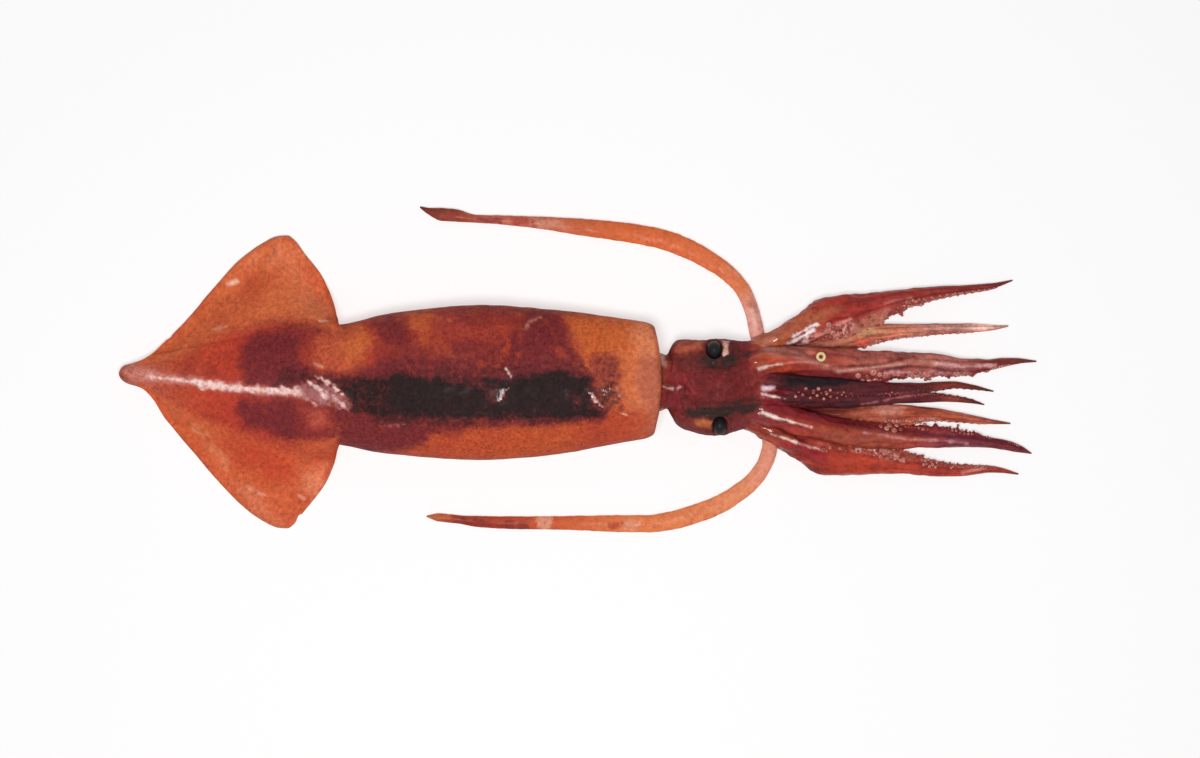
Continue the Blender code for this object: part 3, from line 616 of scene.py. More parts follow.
        (0.813, -0.028), (0.858, -0.017), (0.872, -0.035), (0.843, -0.050))},
    {"ink": 0.85, "soft": 0.0046, "ragged": 0.003, "line": (
        (0.473, -0.054), (0.591, -0.056), (0.739, -0.058), (0.887, -0.054)), "width": 0.0074},
    # front edge
    {"tone": "#dc835a", "soft": 0.0166, "amount": 0.8, "ragged": 0.008, "outline": (
        (0.946, 0.120), (1.006, 0.120), (1.013, 0.057), (0.961, 0.050), (0.943, 0.079))},
    {"tone": "#b0604a", "soft": 0.0166, "amount": 0.85, "ragged": 0.008, "outline": (
        (0.965, 0.043), (1.006, 0.050), (1.013, -0.113), (0.980, -0.113), (0.976, -0.054),
        (0.954, -0.006))},
    {"tone": "#bb6646", "soft": 0.0129, "amount": 0.6, "ragged": 0.008, "outline": (
        (0.939, -0.028), (0.969, -0.024), (0.972, -0.054), (0.950, -0.057))},
    {"tone": "#8e3e2c", "soft": 0.003, "amount": 0.7, "ragged": 0.002, "line": (
        (0.982, 0.115), (0.991, 0.072), (0.997, 0.024), (0.999, -0.006), (0.996, -0.050),
        (0.987, -0.100)), "width": 0.0048},
)
# Pale marks on the mantle, mostly painted highlights: the bright streak and its pink surround along the tail ridge,
# and the glints on the crumpled skin and on the folds; a few are pale flecks of the skin.
paintedGlintsAndPaleFlecks = (
    {"tone": "#d08a7c", "soft": 0.0055, "amount": 0.7, "ragged": 0.005, "grain": 0.012, "line": (
        (0.052, 0.015), (0.092, 0.009), (0.144, 0.002), (0.203, -0.007), (0.262, -0.013),
        (0.344, -0.017)), "width": 0.0129},
    {"tone": "#f2d2cb", "soft": 0.0028, "amount": 0.85, "ragged": 0.005, "grain": 0.008, "line": (
        (0.055, 0.013), (0.104, 0.007), (0.155, 0.0), (0.222, -0.009)), "width": 0.0055},
    {"tone": "#f2d2cb", "soft": 0.003, "amount": 0.85, "ragged": 0.006, "grain": 0.008, "line": (
        (0.155, -0.002), (0.222, -0.009), (0.274, -0.013), (0.336, -0.015)), "width": 0.0102},
    {"tone": "#b98a8a", "soft": 0.0055, "amount": 0.6, "ragged": 0.010, "grain": 0.012, "outline": (
        (0.333, -0.006), (0.373, 0.006), (0.418, -0.013), (0.436, -0.039), (0.425, -0.050),
        (0.381, -0.039), (0.336, -0.024))},
    {"tone": "#f0d2cc", "soft": 0.0022, "amount": 0.85, "ragged": 0.004, "grain": 0.008, "line": (
        (0.355, 0.002), (0.373, -0.009), (0.388, -0.028)), "width": 0.0055},
    {"tone": "#f0d2cc", "soft": 0.0022, "amount": 0.8, "ragged": 0.005, "grain": 0.008, "line": (
        (0.366, 0.011), (0.392, 0.002), (0.416, -0.020)), "width": 0.0041},
    {"tone": "#e6bcb8", "soft": 0.0022, "amount": 0.8, "ragged": 0.005, "grain": 0.008, "line": (
        (0.384, -0.013), (0.410, -0.031), (0.429, -0.050)), "width": 0.0048},
    {"tone": "#e2aaa0", "soft": 0.0022, "amount": 0.75, "ragged": 0.004, "grain": 0.008, "line": (
        (0.333, -0.017), (0.348, -0.026), (0.368, -0.039)), "width": 0.0048},
    {"tone": "#f4d6cc", "soft": 0.0018, "amount": 0.95, "ragged": 0.001, "line": (
        (0.717, 0.026), (0.725, 0.011)), "width": 0.0037},
    {"tone": "#e8c8be", "soft": 0.0018, "amount": 0.85, "ragged": 0.002, "line": (
        (0.721, -0.009), (0.713, -0.015), (0.708, -0.030)), "width": 0.003},
    {"tone": "#ecccc8", "soft": 0.0022, "amount": 0.85, "ragged": 0.005, "grain": 0.008, "line": (
        (0.871, -0.018), (0.880, -0.033), (0.893, -0.046)), "width": 0.0037},
    {"tone": "#ecccc8", "soft": 0.0018, "amount": 0.8, "ragged": 0.002, "line": (
        (0.919, -0.007), (0.921, -0.024)), "width": 0.0033},
    {"tone": "#f4ccb0", "soft": 0.0018, "amount": 0.8, "ragged": 0.002, "line": (
        (0.928, -0.055), (0.937, -0.059)), "width": 0.0037},
    {"tone": "#c98c8c", "soft": 0.0028, "amount": 0.4, "ragged": 0.007, "grain": 0.008, "line": (
        (0.488, -0.078), (0.532, -0.076)), "width": 0.0046},
    {"tone": "#e8ba98", "soft": 0.0028, "amount": 0.6, "ragged": 0.003, "line": (
        (0.366, 0.035), (0.381, 0.030)), "width": 0.0041},
    {"tone": "#dfa68c", "soft": 0.0028, "amount": 0.55, "ragged": 0.004, "grain": 0.01, "line": (
        (0.749, 0.098), (0.758, 0.111), (0.778, 0.120)), "width": 0.0044},
)


def paintMantle(points, share):
    x, y = points[..., 0], points[..., 1]
    paint = blankPaint(points, (
        (0.0, "#ba6c5a"), (0.05, "#bd6450"), (0.1, "#b85038"), (0.17, "#bc4730"), (0.22, "#b03d2f"),
        (0.32, "#98352e"), (0.40, "#a84634"), (0.425, "#b85634"), (0.46, "#aa4330"), (0.50, "#993b2f"),
        (0.60, "#963c32"), (0.70, "#98392f"), (0.77, "#8a3630"), (0.81, "#923830"), (0.86, "#ba5836"),
        (0.93, "#cb6a3e"), (0.97, "#d57a50"), (1.0, "#d68a66")), x)
    colour = paint["colour"]
    lower = softStep(-0.035, -0.06, y) * softStep(0.40, 0.46, x)
    belowTones = ((0.40, "#a8483a"), (0.60, "#b44c30"), (0.72, "#ba522f"), (0.82, "#b65030"),
                  (0.88, "#ac4630"), (0.93, "#b44a2f"), (0.98, "#b9593c"), (1.0, "#c08060"))
    blendTone(colour, toneAlong(belowTones, x), lower)
    blendTone(colour, "#8c332e", 0.55 * softStep(0.0, 0.9, cloud(points, 0.045, 21, 4)) * (x < 0.86) * (1 - lower))
    blendTone(colour, "#c0603a", 0.35 * softStep(0.1, 0.9, -cloud(points, 0.05, 23, 4)) * (x > 0.4))
    flows = cloud(points * (1.0, 0.45, 1.0), 0.016, 25, 4) * softStep(0.3, 0.4, x) * softStep(0.95, 0.85, x)
    blendTone(colour, "#c4602f", 0.45 * softStep(0.15, 0.9, flows))
    blendTone(colour, "#7c2a2c", 0.45 * softStep(0.15, 0.9, -flows) * (1 - 0.6 * lower))
    paintPatches(paint, points, bodyPatches, 40)
    onFin = softStep(0.08, 0.32, share) * softStep(0.418, 0.395, x)
    fins = blankPaint(points, ((0.0, "#cb623c"), (0.15, "#d0683e"), (0.3, "#d67044"), (1.0, "#d6724a")), x)
    blendTone(fins["colour"], "#cd623c", softStep(0.02, -0.02, y))
    blendTone(fins["colour"], "#bd5234", 0.6 * softStep(-0.2, 0.9, cloud(points, 0.045, 22, 4)))
    paintPatches(fins, points, finPatches, 70)
    blendTone(fins["colour"], "#9c5238", 0.45 * softStep(0.95, 1.0, share))
    for layer in paint:
        amount = onFin[..., None] if layer == "colour" else onFin
        paint[layer] += (fins[layer] - paint[layer]) * amount
    # painted shade: the skin is darkened where it turns steeply down at the sides
    level = np.abs(outward(points)[..., 2])
    blendTone(colour, "#7a352a", 0.35 * softStep(0.45, 0.0, level) * (1 - share))
    # painted highlights along the tail ridge and on the folds, with a few pale flecks, laid over everything
    paintPatches(paint, points, paintedGlintsAndPaleFlecks, 90)
    under = softStep(-0.1, -0.5, outward(points)[..., 2])
    blendTone(colour, "#dc9c80", 0.85 * under)
    paint["stain"] *= 1 - under
    paint["ink"] *= 1 - under
    colour *= 1.13    # makes up for the mottling and the flecks over it
    return paint


def mantleWetness(points, share):
    x, y = points[..., 0], points[..., 1]
    toRidge = lineDistance(x, y, mantleFolds[0]["line"])
    wet = 0.10 * softStep(0.0832, 0.037, toRidge) + 0.03 * cloud(points, 0.03, 31) * softStep(0.06, 0.0, share)
    ridge = softStep(0.0259, 0.0092, toRidge)
    ridge *= 1 - 0.5 * softStep(0.2, 1.0, cloud(points, 0.012, 35))
    wet = np.maximum(wet, ridge)
    for crumple in mantleCrumples:
        wet = np.maximum(wet, 0.3 * softStep(-0.006, 0.006, depthInside(x, y, crumple["outline"])))
    for fold in mantleFolds[5:]:
        wet = np.maximum(wet, 0.35 * softStep(0.0065, 0.0018, lineDistance(x, y, fold["line"])))
    return np.clip(wet, 0.0, 1.0)


def makeMantle(material):
    grid = mantleGrid()
    points = shapeMantle(grid)
    share = grid[..., 3]
    mesh = skinMesh("mantleSkin", points)
    flecks = (softStep(-0.5, 0.5, cloud(points, 0.05, 33)) * 0.4 + 0.6) * (1 - 0.55 * softStep(0.1, 0.4, share))
    flecks *= 1 - 0.5 * softStep(0.86, 0.95, points[..., 0])
    storeLooks(mesh, paintMantle(points, share), mantleWetness(points, share), flecks)
    return finishPiece(linkPiece("mantleSkin", mesh), material, "mantle")


mantleLook = {
    "blushTone": "#92321f", "blushAmount": 0.38, "blushSize": 2.2 * millimetre,
    "stainTone": "#762c30", "inkTone": "#281f1f", "stainGrain": 2.4 * millimetre, "raggedness": 1.5,
    "cloudSize": 2 * millimetre, "cloudDepth": 0.20,
    "fleckRows": ((1.6 * millimetre, 0.42, 0.60), (0.95 * millimetre, 0.36, 0.45)),   # cell, radius, depth
    "fleckTint": (0.66, 0.42, 0.42),
    "filmSize": 3 * millimetre, "roughness": (0.52, 0.68), "specular": 0.10,
    "coatRoughness": 0.07, "filmIor": 1.42,
    "glow": 0.10, "glowDepth": 1.5 * millimetre,
    "wrinkleSize": 1.6 * millimetre, "wrinkleStrength": 0.16,
}
makeMantle(wetSkin("wetMantleSkin", mantleLook))
print("mantle and fins made")


# Eight arms: knots are (x, y, height, half width, half height, web), with the web on the sucker side.
armShape = {"rings": 300, "sides": 56, "webAngle": 55.0, "rise": 0.0008}
arms = {
    "dorsalLeft": {
        "knots": (
            (1.135, 0.004, 0.078, 0.018, 0.024, 0.0), (1.180, 0.003, 0.082, 0.018, 0.023, 0.0),
            (1.238, -0.001, 0.071, 0.0175, 0.022, 0.0),
            (1.312, -0.006, 0.053, 0.0168, 0.019, 0.0), (1.386, -0.011, 0.037, 0.0150, 0.0170, 0.0),
            (1.451, -0.010, 0.025, 0.012, 0.0135, 0.0), (1.506, -0.0065, 0.016, 0.0085, 0.0095, 0.0),
            (1.543, -0.0035, 0.0105, 0.0065, 0.0072, 0.0), (1.575, -0.0075, 0.0072, 0.0046, 0.0055, 0.0),
            (1.614, -0.0153, 0.0040, 0.0014, 0.0028, 0.0)),
        "webSide": -1,
        "tones": ((1.13, "#6a2a30"), (1.19, "#5c2930"), (1.23, "#3a2429"), (1.32, "#3f262a"),
                  (1.40, "#5d2c33"), (1.47, "#5f2d30"), (1.53, "#7a3a2c"), (1.61, "#4e2c28")),
        "webTone": "#6e3440",
        "suckers": (1.26, 1.56, 0.0028, 0.3), "rows": (60, 20, 44), "spacing": 7.0, "scallop": 0.0012,
        "patches": (
            {"ink": 0.85, "soft": 0.0074, "ragged": 0.006, "grain": 0.015, "outline": (
                (1.220, 0.009), (1.257, 0.017), (1.316, 0.015), (1.383, 0.009), (1.379, -0.002),
                (1.312, -0.007), (1.257, -0.009), (1.227, -0.006))},
            {"ink": 0.5, "soft": 0.0055, "ragged": 0.004, "line": ((1.383, -0.009), (1.442, -0.013),
                (1.497, -0.011)), "width": 0.0055},
        ),
    },
    "dorsalRight": {
        "knots": (
            (1.135, -0.022, 0.078, 0.018, 0.024, 0.0), (1.180, -0.025, 0.081, 0.018, 0.023, 0.0),
            (1.238, -0.027, 0.068, 0.0175, 0.022, 0.0),
            (1.312, -0.0305, 0.050, 0.0165, 0.019, 0.0), (1.386, -0.0285, 0.034, 0.014, 0.0165, 0.0),
            (1.451, -0.026, 0.022, 0.012, 0.0135, 0.0), (1.506, -0.026, 0.0136, 0.0085, 0.0095, 0.0),
            (1.543, -0.029, 0.0096, 0.0062, 0.0072, 0.0), (1.571, -0.0333, 0.0064, 0.0041, 0.0048, 0.0),
            (1.597, -0.040, 0.0038, 0.0014, 0.0028, 0.0)),
        "webSide": 1,
        "tones": ((1.13, "#7a2c34"), (1.19, "#8c2f36"), (1.24, "#5a2a2e"), (1.30, "#4a282c"),
                  (1.38, "#532c34"), (1.47, "#5a2c34"), (1.53, "#7a3830"), (1.60, "#4c2a28")),
        "webTone": "#6a303c",
        "suckers": (1.24, 1.55, 0.0026, 0.4), "rows": (78, 40, 60, 24), "spacing": 9.0, "scallop": 0.0012,
        "patches": (
            {"ink": 0.5, "soft": 0.0055, "ragged": 0.006, "grain": 0.015, "line": (
                (1.220, -0.031), (1.257, -0.035), (1.312, -0.041), (1.360, -0.043)), "width": 0.0092},
            {"tone": "#c07c7a", "soft": 0.0022, "amount": 0.6, "ragged": 0.003, "grain": 0.01, "line": (
                (1.368, -0.039), (1.405, -0.033), (1.451, -0.024), (1.497, -0.020)), "width": 0.0026},
        ),
    },
    "upperLeft": {
        "knots": (
            (1.140, 0.030, 0.066, 0.022, 0.034, 0.0), (1.180, 0.037, 0.074, 0.025, 0.032, 0.0),
            (1.220, 0.0425, 0.070, 0.026, 0.030, 0.0),
            (1.294, 0.041, 0.056, 0.024, 0.026, 0.011), (1.368, 0.038, 0.040, 0.023, 0.022, 0.011),
            (1.442, 0.037, 0.028, 0.0205, 0.019, 0.005), (1.516, 0.035, 0.020, 0.0175, 0.016, 0.004),
            (1.556, 0.0325, 0.016, 0.015, 0.014, 0.003), (1.599, 0.034, 0.0125, 0.011, 0.0115, 0.0),
            (1.632, 0.038, 0.0100, 0.0074, 0.0088, 0.0), (1.664, 0.0407, 0.0076, 0.0046, 0.0064, 0.0),
            (1.693, 0.040, 0.0046, 0.0015, 0.0030, 0.0)),
        "webSide": -1,
        "tones": ((1.14, "#7c3030"), (1.18, "#9a4530"), (1.24, "#a8402f"), (1.32, "#a64e40"),
                  (1.38, "#b8685a"), (1.46, "#b26458"), (1.54, "#c0756c"), (1.60, "#8e3f34"), (1.69, "#6a3a36")),
        "webTone": "#7a2c38",
        "teeth": ((1.372, 0.004, 0.010), (1.413, 0.007, 0.011), (1.446, 0.004, 0.010), (1.492, 0.007, 0.013),
                  (1.530, 0.003, 0.009), (1.574, 0.006, 0.011), (1.60, 0.003, 0.008)),
        "suckers": (1.36, 1.66, 0.0048, 0.5), "scallop": 0.002,
        "patches": (
            {"tone": "#a88070", "soft": 0.0074, "amount": 0.5, "outline": (
                (1.176, 0.072), (1.238, 0.068), (1.279, 0.057), (1.257, 0.043), (1.201, 0.050))},
            {"tone": "#6a3438", "soft": 0.0046, "amount": 0.75, "line": (
                (1.231, 0.065), (1.257, 0.057), (1.279, 0.043), (1.312, 0.031)), "width": 0.0055},
            {"tone": "#b27466", "soft": 0.0037, "amount": 0.6, "line": (
                (1.238, 0.054), (1.268, 0.043), (1.305, 0.031), (1.327, 0.020)), "width": 0.0074},
            {"tone": "#5a2026", "soft": 0.0037, "amount": 0.9, "line": (
                (1.323, 0.031), (1.386, 0.031), (1.442, 0.044), (1.464, 0.048)), "width": 0.0065},
            {"tone": "#b98670", "soft": 0.0055, "amount": 0.6, "ragged": 0.008, "grain": 0.012, "line": (
                (1.453, 0.039), (1.488, 0.041), (1.503, 0.035)), "width": 0.0092},
            {"tone": "#d8a09c", "soft": 0.0028, "amount": 0.75, "ragged": 0.006, "grain": 0.008, "line": (
                (1.412, 0.017), (1.449, 0.020), (1.486, 0.015), (1.523, 0.018),
                (1.571, 0.017)), "width": 0.0063},
            {"tone": "#541e2c", "soft": 0.0033, "amount": 0.8, "ragged": 0.003, "grain": 0.01, "line": (
                (1.405, 0.024), (1.451, 0.031), (1.497, 0.028), (1.553, 0.020), (1.608, 0.024),
                (1.649, 0.033)), "width": 0.0055},
            # the two pale lines below are painted highlights along the arm
            {"tone": "#e4b4b2", "soft": 0.003, "amount": 0.75, "ragged": 0.003, "grain": 0.01, "line": (
                (1.505, 0.037), (1.553, 0.030), (1.616, 0.033)), "width": 0.0044},
            {"tone": "#e8b8a8", "soft": 0.0028, "amount": 0.6, "ragged": 0.002, "line": (
                (1.323, 0.022), (1.368, 0.026), (1.412, 0.031), (1.449, 0.035)), "width": 0.0033},
        ),
    },
    "upperRight": {
        "knots": (
            (1.140, -0.038, 0.066, 0.022, 0.034, 0.0), (1.180, -0.051, 0.074, 0.024, 0.032, 0.0),
            (1.220, -0.063, 0.068, 0.024, 0.030, 0.0),
            (1.294, -0.0815, 0.052, 0.023, 0.026, 0.0), (1.368, -0.096, 0.038, 0.022, 0.022, 0.002),
            (1.442, -0.1025, 0.026, 0.0185, 0.0185, 0.005), (1.516, -0.1025, 0.018, 0.0163, 0.0152, 0.005),
            (1.562, -0.105, 0.0148, 0.013, 0.013, 0.003), (1.608, -0.111, 0.0120, 0.0095, 0.0104, 0.001),
            (1.641, -0.1165, 0.0096, 0.0083, 0.0080, 0.001), (1.660, -0.1216, 0.0076, 0.007, 0.0064, 0.0),
            (1.684, -0.130, 0.0044, 0.0015, 0.0030, 0.0)),
        "webSide": 1,
        "tones": ((1.14, "#742f32"), (1.18, "#84383a"), (1.24, "#a23c33"), (1.32, "#a4472f"),
                  (1.40, "#a8513c"), (1.47, "#a04438"), (1.54, "#8a4450"), (1.60, "#7a3a44"), (1.68, "#7a3a3a")),
        "webTone": "#7c2a30",
        "teeth": ((1.486, 0.004, 0.006), (1.506, 0.005, 0.007), (1.528, 0.002, 0.006), (1.545, 0.006, 0.006),
                  (1.58, 0.003, 0.012)),
        "suckers": (1.40, 1.66, 0.0040, 0.25), "spacing": 2.6, "scallop": 0.002,
        "patches": (
            {"tone": "#7c2430", "soft": 0.0055, "amount": 0.8, "outline": (
                (1.190, -0.035), (1.257, -0.046), (1.331, -0.061), (1.386, -0.072), (1.383, -0.083),
                (1.312, -0.076), (1.238, -0.061), (1.194, -0.050))},
            {"tone": "#9a5348", "soft": 0.0074, "amount": 0.6, "outline": (
                (1.279, -0.083), (1.349, -0.094), (1.405, -0.102), (1.386, -0.113), (1.312, -0.105))},
            {"tone": "#541e2a", "soft": 0.0037, "amount": 0.75, "ragged": 0.003, "grain": 0.01, "line": (
                (1.342, -0.076), (1.405, -0.085), (1.470, -0.092), (1.553, -0.100), (1.627, -0.107),
                (1.664, -0.120)), "width": 0.0083},
            # a painted highlight along the arm
            {"tone": "#e4b0b0", "soft": 0.0026, "amount": 0.45, "ragged": 0.003, "grain": 0.01, "line": (
                (1.372, -0.091), (1.412, -0.096), (1.451, -0.104), (1.506, -0.105),
                (1.564, -0.111)), "width": 0.0033},
        ),
    },
    "lateralLeft": {
        "knots": (
            (1.140, 0.042, 0.048, 0.022, 0.034, 0.0), (1.211, 0.0785, 0.046, 0.0215, 0.034, 0.0),
            (1.257, 0.100, 0.036, 0.0245, 0.028, 0.006), (1.303, 0.1245, 0.028, 0.031, 0.024, 0.015),
            (1.349, 0.135, 0.024, 0.0295, 0.022, 0.022), (1.390, 0.145, 0.021, 0.022, 0.0192, 0.013),
            (1.451, 0.159, 0.017, 0.0157, 0.016, 0.006), (1.508, 0.168, 0.0136, 0.011, 0.012, 0.002),
            (1.567, 0.1737, 0.0098, 0.0074, 0.0084, 0.0), (1.608, 0.1785, 0.0078, 0.0059, 0.0064, 0.0),
            (1.649, 0.1895, 0.0048, 0.0015, 0.0030, 0.0)),
        "webSide": -1,
        "tones": ((1.14, "#7a3030"), (1.19, "#b25a40"), (1.25, "#a84430"), (1.31, "#a83a31"),
                  (1.40, "#a03a34"), (1.50, "#933a34"), (1.58, "#7c3432"), (1.65, "#6a3032")),
        "webTone": "#a55048",
        "teeth": ((1.395, 0.010, 0.012), (1.437, 0.007, 0.008), (1.475, 0.005, 0.007)),
        "suckers": (1.26, 1.62, 0.0042, 0.35), "rows": (40, 12, 28, 2), "spacing": 3.4, "scallop": 0.002,
        "patches": (
            {"tone": "#b5684a", "soft": 0.0092, "amount": 0.8, "ragged": 0.008, "outline": (
                (1.165, 0.083), (1.205, 0.094), (1.257, 0.124), (1.312, 0.142), (1.335, 0.135),
                (1.298, 0.113), (1.257, 0.091), (1.220, 0.068), (1.172, 0.065))},
            {"tone": "#9a3a2c", "soft": 0.0055, "amount": 0.7, "line": (
                (1.176, 0.091), (1.229, 0.113), (1.268, 0.139)), "width": 0.0111},
            # the near-white strokes below are painted highlights on the arm root
            {"tone": "#ffeeee", "soft": 0.0022, "ragged": 0.003, "grain": 0.008, "paintedHighlight": True, "line": (
                (1.231, 0.070), (1.253, 0.083), (1.281, 0.098)), "width": 0.0063},
            {"tone": "#fce8e8", "soft": 0.0018, "ragged": 0.003, "grain": 0.008, "paintedHighlight": True, "line": (
                (1.242, 0.085), (1.264, 0.098), (1.288, 0.109)), "width": 0.0037},
            {"tone": "#f6dcda", "soft": 0.0018, "ragged": 0.003, "grain": 0.008, "paintedHighlight": True, "line": (
                (1.251, 0.072), (1.268, 0.083), (1.283, 0.092)), "width": 0.0033},
            {"tone": "#f2d4d2", "soft": 0.0018, "amount": 0.9, "ragged": 0.003, "grain": 0.008, "line": (
                (1.244, 0.061), (1.264, 0.074), (1.279, 0.081)), "width": 0.0033},
            {"tone": "#e89a8c", "soft": 0.0028, "amount": 0.85, "ragged": 0.002, "line": (
                (1.272, 0.081), (1.298, 0.092), (1.323, 0.105), (1.348, 0.118)), "width": 0.0065},
            {"tone": "#7a2028", "soft": 0.0046, "amount": 0.85, "ragged": 0.010, "grain": 0.010, "outline": (
                (1.272, 0.074), (1.305, 0.089), (1.342, 0.109), (1.364, 0.111), (1.349, 0.092),
                (1.316, 0.078), (1.283, 0.061))},
            {"tone": "#c98474", "soft": 0.0055, "amount": 0.7, "ragged": 0.010, "grain": 0.010, "outline": (
                (1.294, 0.068), (1.323, 0.083), (1.353, 0.098), (1.383, 0.109), (1.405, 0.124),
                (1.420, 0.135), (1.412, 0.113), (1.379, 0.091), (1.331, 0.061), (1.301, 0.057))},
            {"tone": "#b97c60", "soft": 0.0074, "amount": 0.6, "outline": (
                (1.353, 0.113), (1.386, 0.124), (1.412, 0.131), (1.397, 0.102), (1.360, 0.083))},
            {"tone": "#d79a8c", "soft": 0.0028, "amount": 0.4, "ragged": 0.003, "line": (
                (1.412, 0.146), (1.434, 0.153), (1.460, 0.157)), "width": 0.0037},
            # painted highlight on the sucker side
            {"tone": "#f0b4a8", "soft": 0.0022, "amount": 0.8, "ragged": 0.007, "grain": 0.006, "paintedHighlight": True, "line": (
                (1.301, 0.078), (1.327, 0.092), (1.353, 0.107)), "width": 0.0048},
        ),
    },
    "lateralRight": {
        "knots": (
            (1.140, -0.052, 0.048, 0.022, 0.034, 0.0), (1.211, -0.0925, 0.046, 0.0215, 0.034, 0.0),
            (1.257, -0.1165, 0.036, 0.0235, 0.028, 0.004), (1.303, -0.137, 0.028, 0.0305, 0.024, 0.011),
            (1.349, -0.1415, 0.024, 0.027, 0.022, 0.016), (1.405, -0.146, 0.021, 0.022, 0.0192, 0.009),
            (1.451, -0.1515, 0.0172, 0.0175, 0.0165, 0.007), (1.506, -0.1595, 0.0136, 0.013, 0.0124, 0.003),
            (1.556, -0.1623, 0.0102, 0.0102, 0.0092, 0.001), (1.599, -0.1593, 0.0078, 0.007, 0.0068, 0.0),
            (1.627, -0.1612, 0.0064, 0.0052, 0.0052, 0.0), (1.660, -0.1682, 0.0044, 0.0015, 0.0030, 0.0)),
        "webSide": 1,
        "tones": ((1.14, "#803232"), (1.20, "#a44630"), (1.25, "#8e342f"), (1.30, "#9e3a30"),
                  (1.36, "#b04030"), (1.44, "#b44434"), (1.52, "#a83e36"), (1.60, "#a04434"), (1.66, "#6e3230")),
        "webTone": "#b05446",
        "teeth": ((1.40, 0.004, 0.012), (1.44, 0.004, 0.009), (1.476, 0.003, 0.006), (1.50, 0.002, 0.006),
                  (1.565, 0.002, 0.006)),
        "suckers": (1.29, 1.62, 0.0043, 0.4), "rows": (56, 18, 38, 6), "spacing": 3.4, "scallop": 0.002,
        "patches": (
            {"tone": "#9a2c38", "soft": 0.0055, "amount": 0.6, "outline": (
                (1.201, -0.094), (1.257, -0.109), (1.301, -0.128), (1.312, -0.142), (1.257, -0.128),
                (1.213, -0.109))},
            {"tone": "#b0432e", "soft": 0.0092, "amount": 0.6, "outline": (
                (1.312, -0.124), (1.368, -0.139), (1.405, -0.153), (1.349, -0.168), (1.305, -0.157))},
            {"tone": "#c2745f", "soft": 0.0055, "amount": 0.5, "ragged": 0.012, "grain": 0.01, "outline": (
                (1.342, -0.116), (1.372, -0.105), (1.412, -0.113), (1.445, -0.124), (1.471, -0.139),
                (1.442, -0.146), (1.405, -0.139), (1.368, -0.128))},
            {"tone": "#d99a8e", "soft": 0.0028, "amount": 0.6, "line": ((1.556, -0.165),
                (1.597, -0.157)), "width": 0.0055},
            {"tone": "#7a1c22", "soft": 0.0037, "amount": 0.7, "ragged": 0.008, "grain": 0.008, "line": (
                (1.353, -0.122), (1.383, -0.118), (1.412, -0.128), (1.449, -0.144)), "width": 0.0129},
            # painted highlights: pale glint specks on the sucker side
            {"tone": "#f2b8ae", "soft": 0.0022, "amount": 0.9, "ragged": 0.006, "grain": 0.006, "paintedHighlight": True, "line": (
                (1.362, -0.124), (1.379, -0.116), (1.394, -0.124)), "width": 0.0067},
            {"tone": "#e8a89c", "soft": 0.0022, "amount": 0.6, "ragged": 0.009, "grain": 0.006, "line": (
                (1.405, -0.124), (1.427, -0.133), (1.445, -0.140)), "width": 0.0052},
        ),
    },
    "ventralLeft": {
        "knots": (
            (1.183, 0.0425, 0.024, 0.0185, 0.024, 0.0), (1.257, 0.059, 0.024, 0.021, 0.0240, 0.0),
            (1.322, 0.074, 0.018, 0.020, 0.017, 0.0), (1.386, 0.0905, 0.0164, 0.0165, 0.0155, 0.002),
            (1.451, 0.097, 0.0140, 0.012, 0.0130, 0.0), (1.516, 0.100, 0.0114, 0.010, 0.0104, 0.0),
            (1.571, 0.1017, 0.0096, 0.008, 0.0086, 0.0), (1.608, 0.102, 0.0072, 0.0052, 0.0062, 0.0),
            (1.641, 0.1053, 0.0042, 0.0015, 0.0030, 0.0)),
        "webSide": -1,
        "tones": ((1.18, "#a04a3a"), (1.30, "#b8705c"), (1.38, "#cc8464"), (1.45, "#d8886e"),
                  (1.53, "#e4a698"), (1.60, "#e4b4a8"), (1.64, "#b98a78")),
        "webTone": "#c8604c",
        "teeth": ((1.37, 0.004, 0.008),),
        "suckers": (1.36, 1.60, 0.0034, 0.6), "scallop": 0.0012,
        "patches": (
            {"tone": "#dd5f50", "soft": 0.0046, "amount": 0.8, "ragged": 0.006, "grain": 0.01, "outline": (
                (1.360, 0.083), (1.386, 0.087), (1.394, 0.072), (1.375, 0.061), (1.360, 0.065))},
            {"tone": "#c9a078", "soft": 0.0074, "amount": 0.6, "outline": ((1.349, 0.098),
                (1.386, 0.113), (1.405, 0.098), (1.368, 0.083))},
        ),
    },
    "ventralRight": {
        "knots": (
            (1.183, -0.046, 0.022, 0.0185, 0.020, 0.0), (1.257, -0.0535, 0.020, 0.020, 0.0185, 0.0),
            (1.331, -0.0575, 0.0186, 0.020, 0.0175, 0.0), (1.386, -0.0545, 0.0180, 0.0185, 0.0170, 0.004),
            (1.451, -0.0555, 0.0164, 0.0157, 0.0155, 0.006), (1.497, -0.0565, 0.0144, 0.0126, 0.0134, 0.0),
            (1.553, -0.0638, 0.0112, 0.0089, 0.0102, 0.0), (1.599, -0.0702, 0.0084, 0.0056, 0.0074, 0.0),
            (1.645, -0.0748, 0.0046, 0.0015, 0.0030, 0.0)),
        "webSide": -1,
        "tones": ((1.18, "#702c2e"), (1.28, "#7c3038"), (1.34, "#a0503c"), (1.40, "#bd6a52"),
                  (1.47, "#b85a40"), (1.54, "#c06048"), (1.60, "#b2604c"), (1.64, "#8a5040")),
        "webTone": "#bc6048",
        "teeth": ((1.459, 0.008, 0.007), (1.43, 0.002, 0.008)),
        "suckers": (1.33, 1.60, 0.0036, 0.55), "scallop": 0.0015,
        "patches": (
            {"tone": "#c98a78", "soft": 0.0055, "amount": 0.7, "outline": (
                (1.390, -0.046), (1.423, -0.039), (1.451, -0.046), (1.442, -0.057), (1.405, -0.057))},
            {"tone": "#5a2228", "soft": 0.0037, "amount": 0.7, "line": ((1.471, -0.044),
                (1.497, -0.048)), "width": 0.0055},
        ),
    },
}
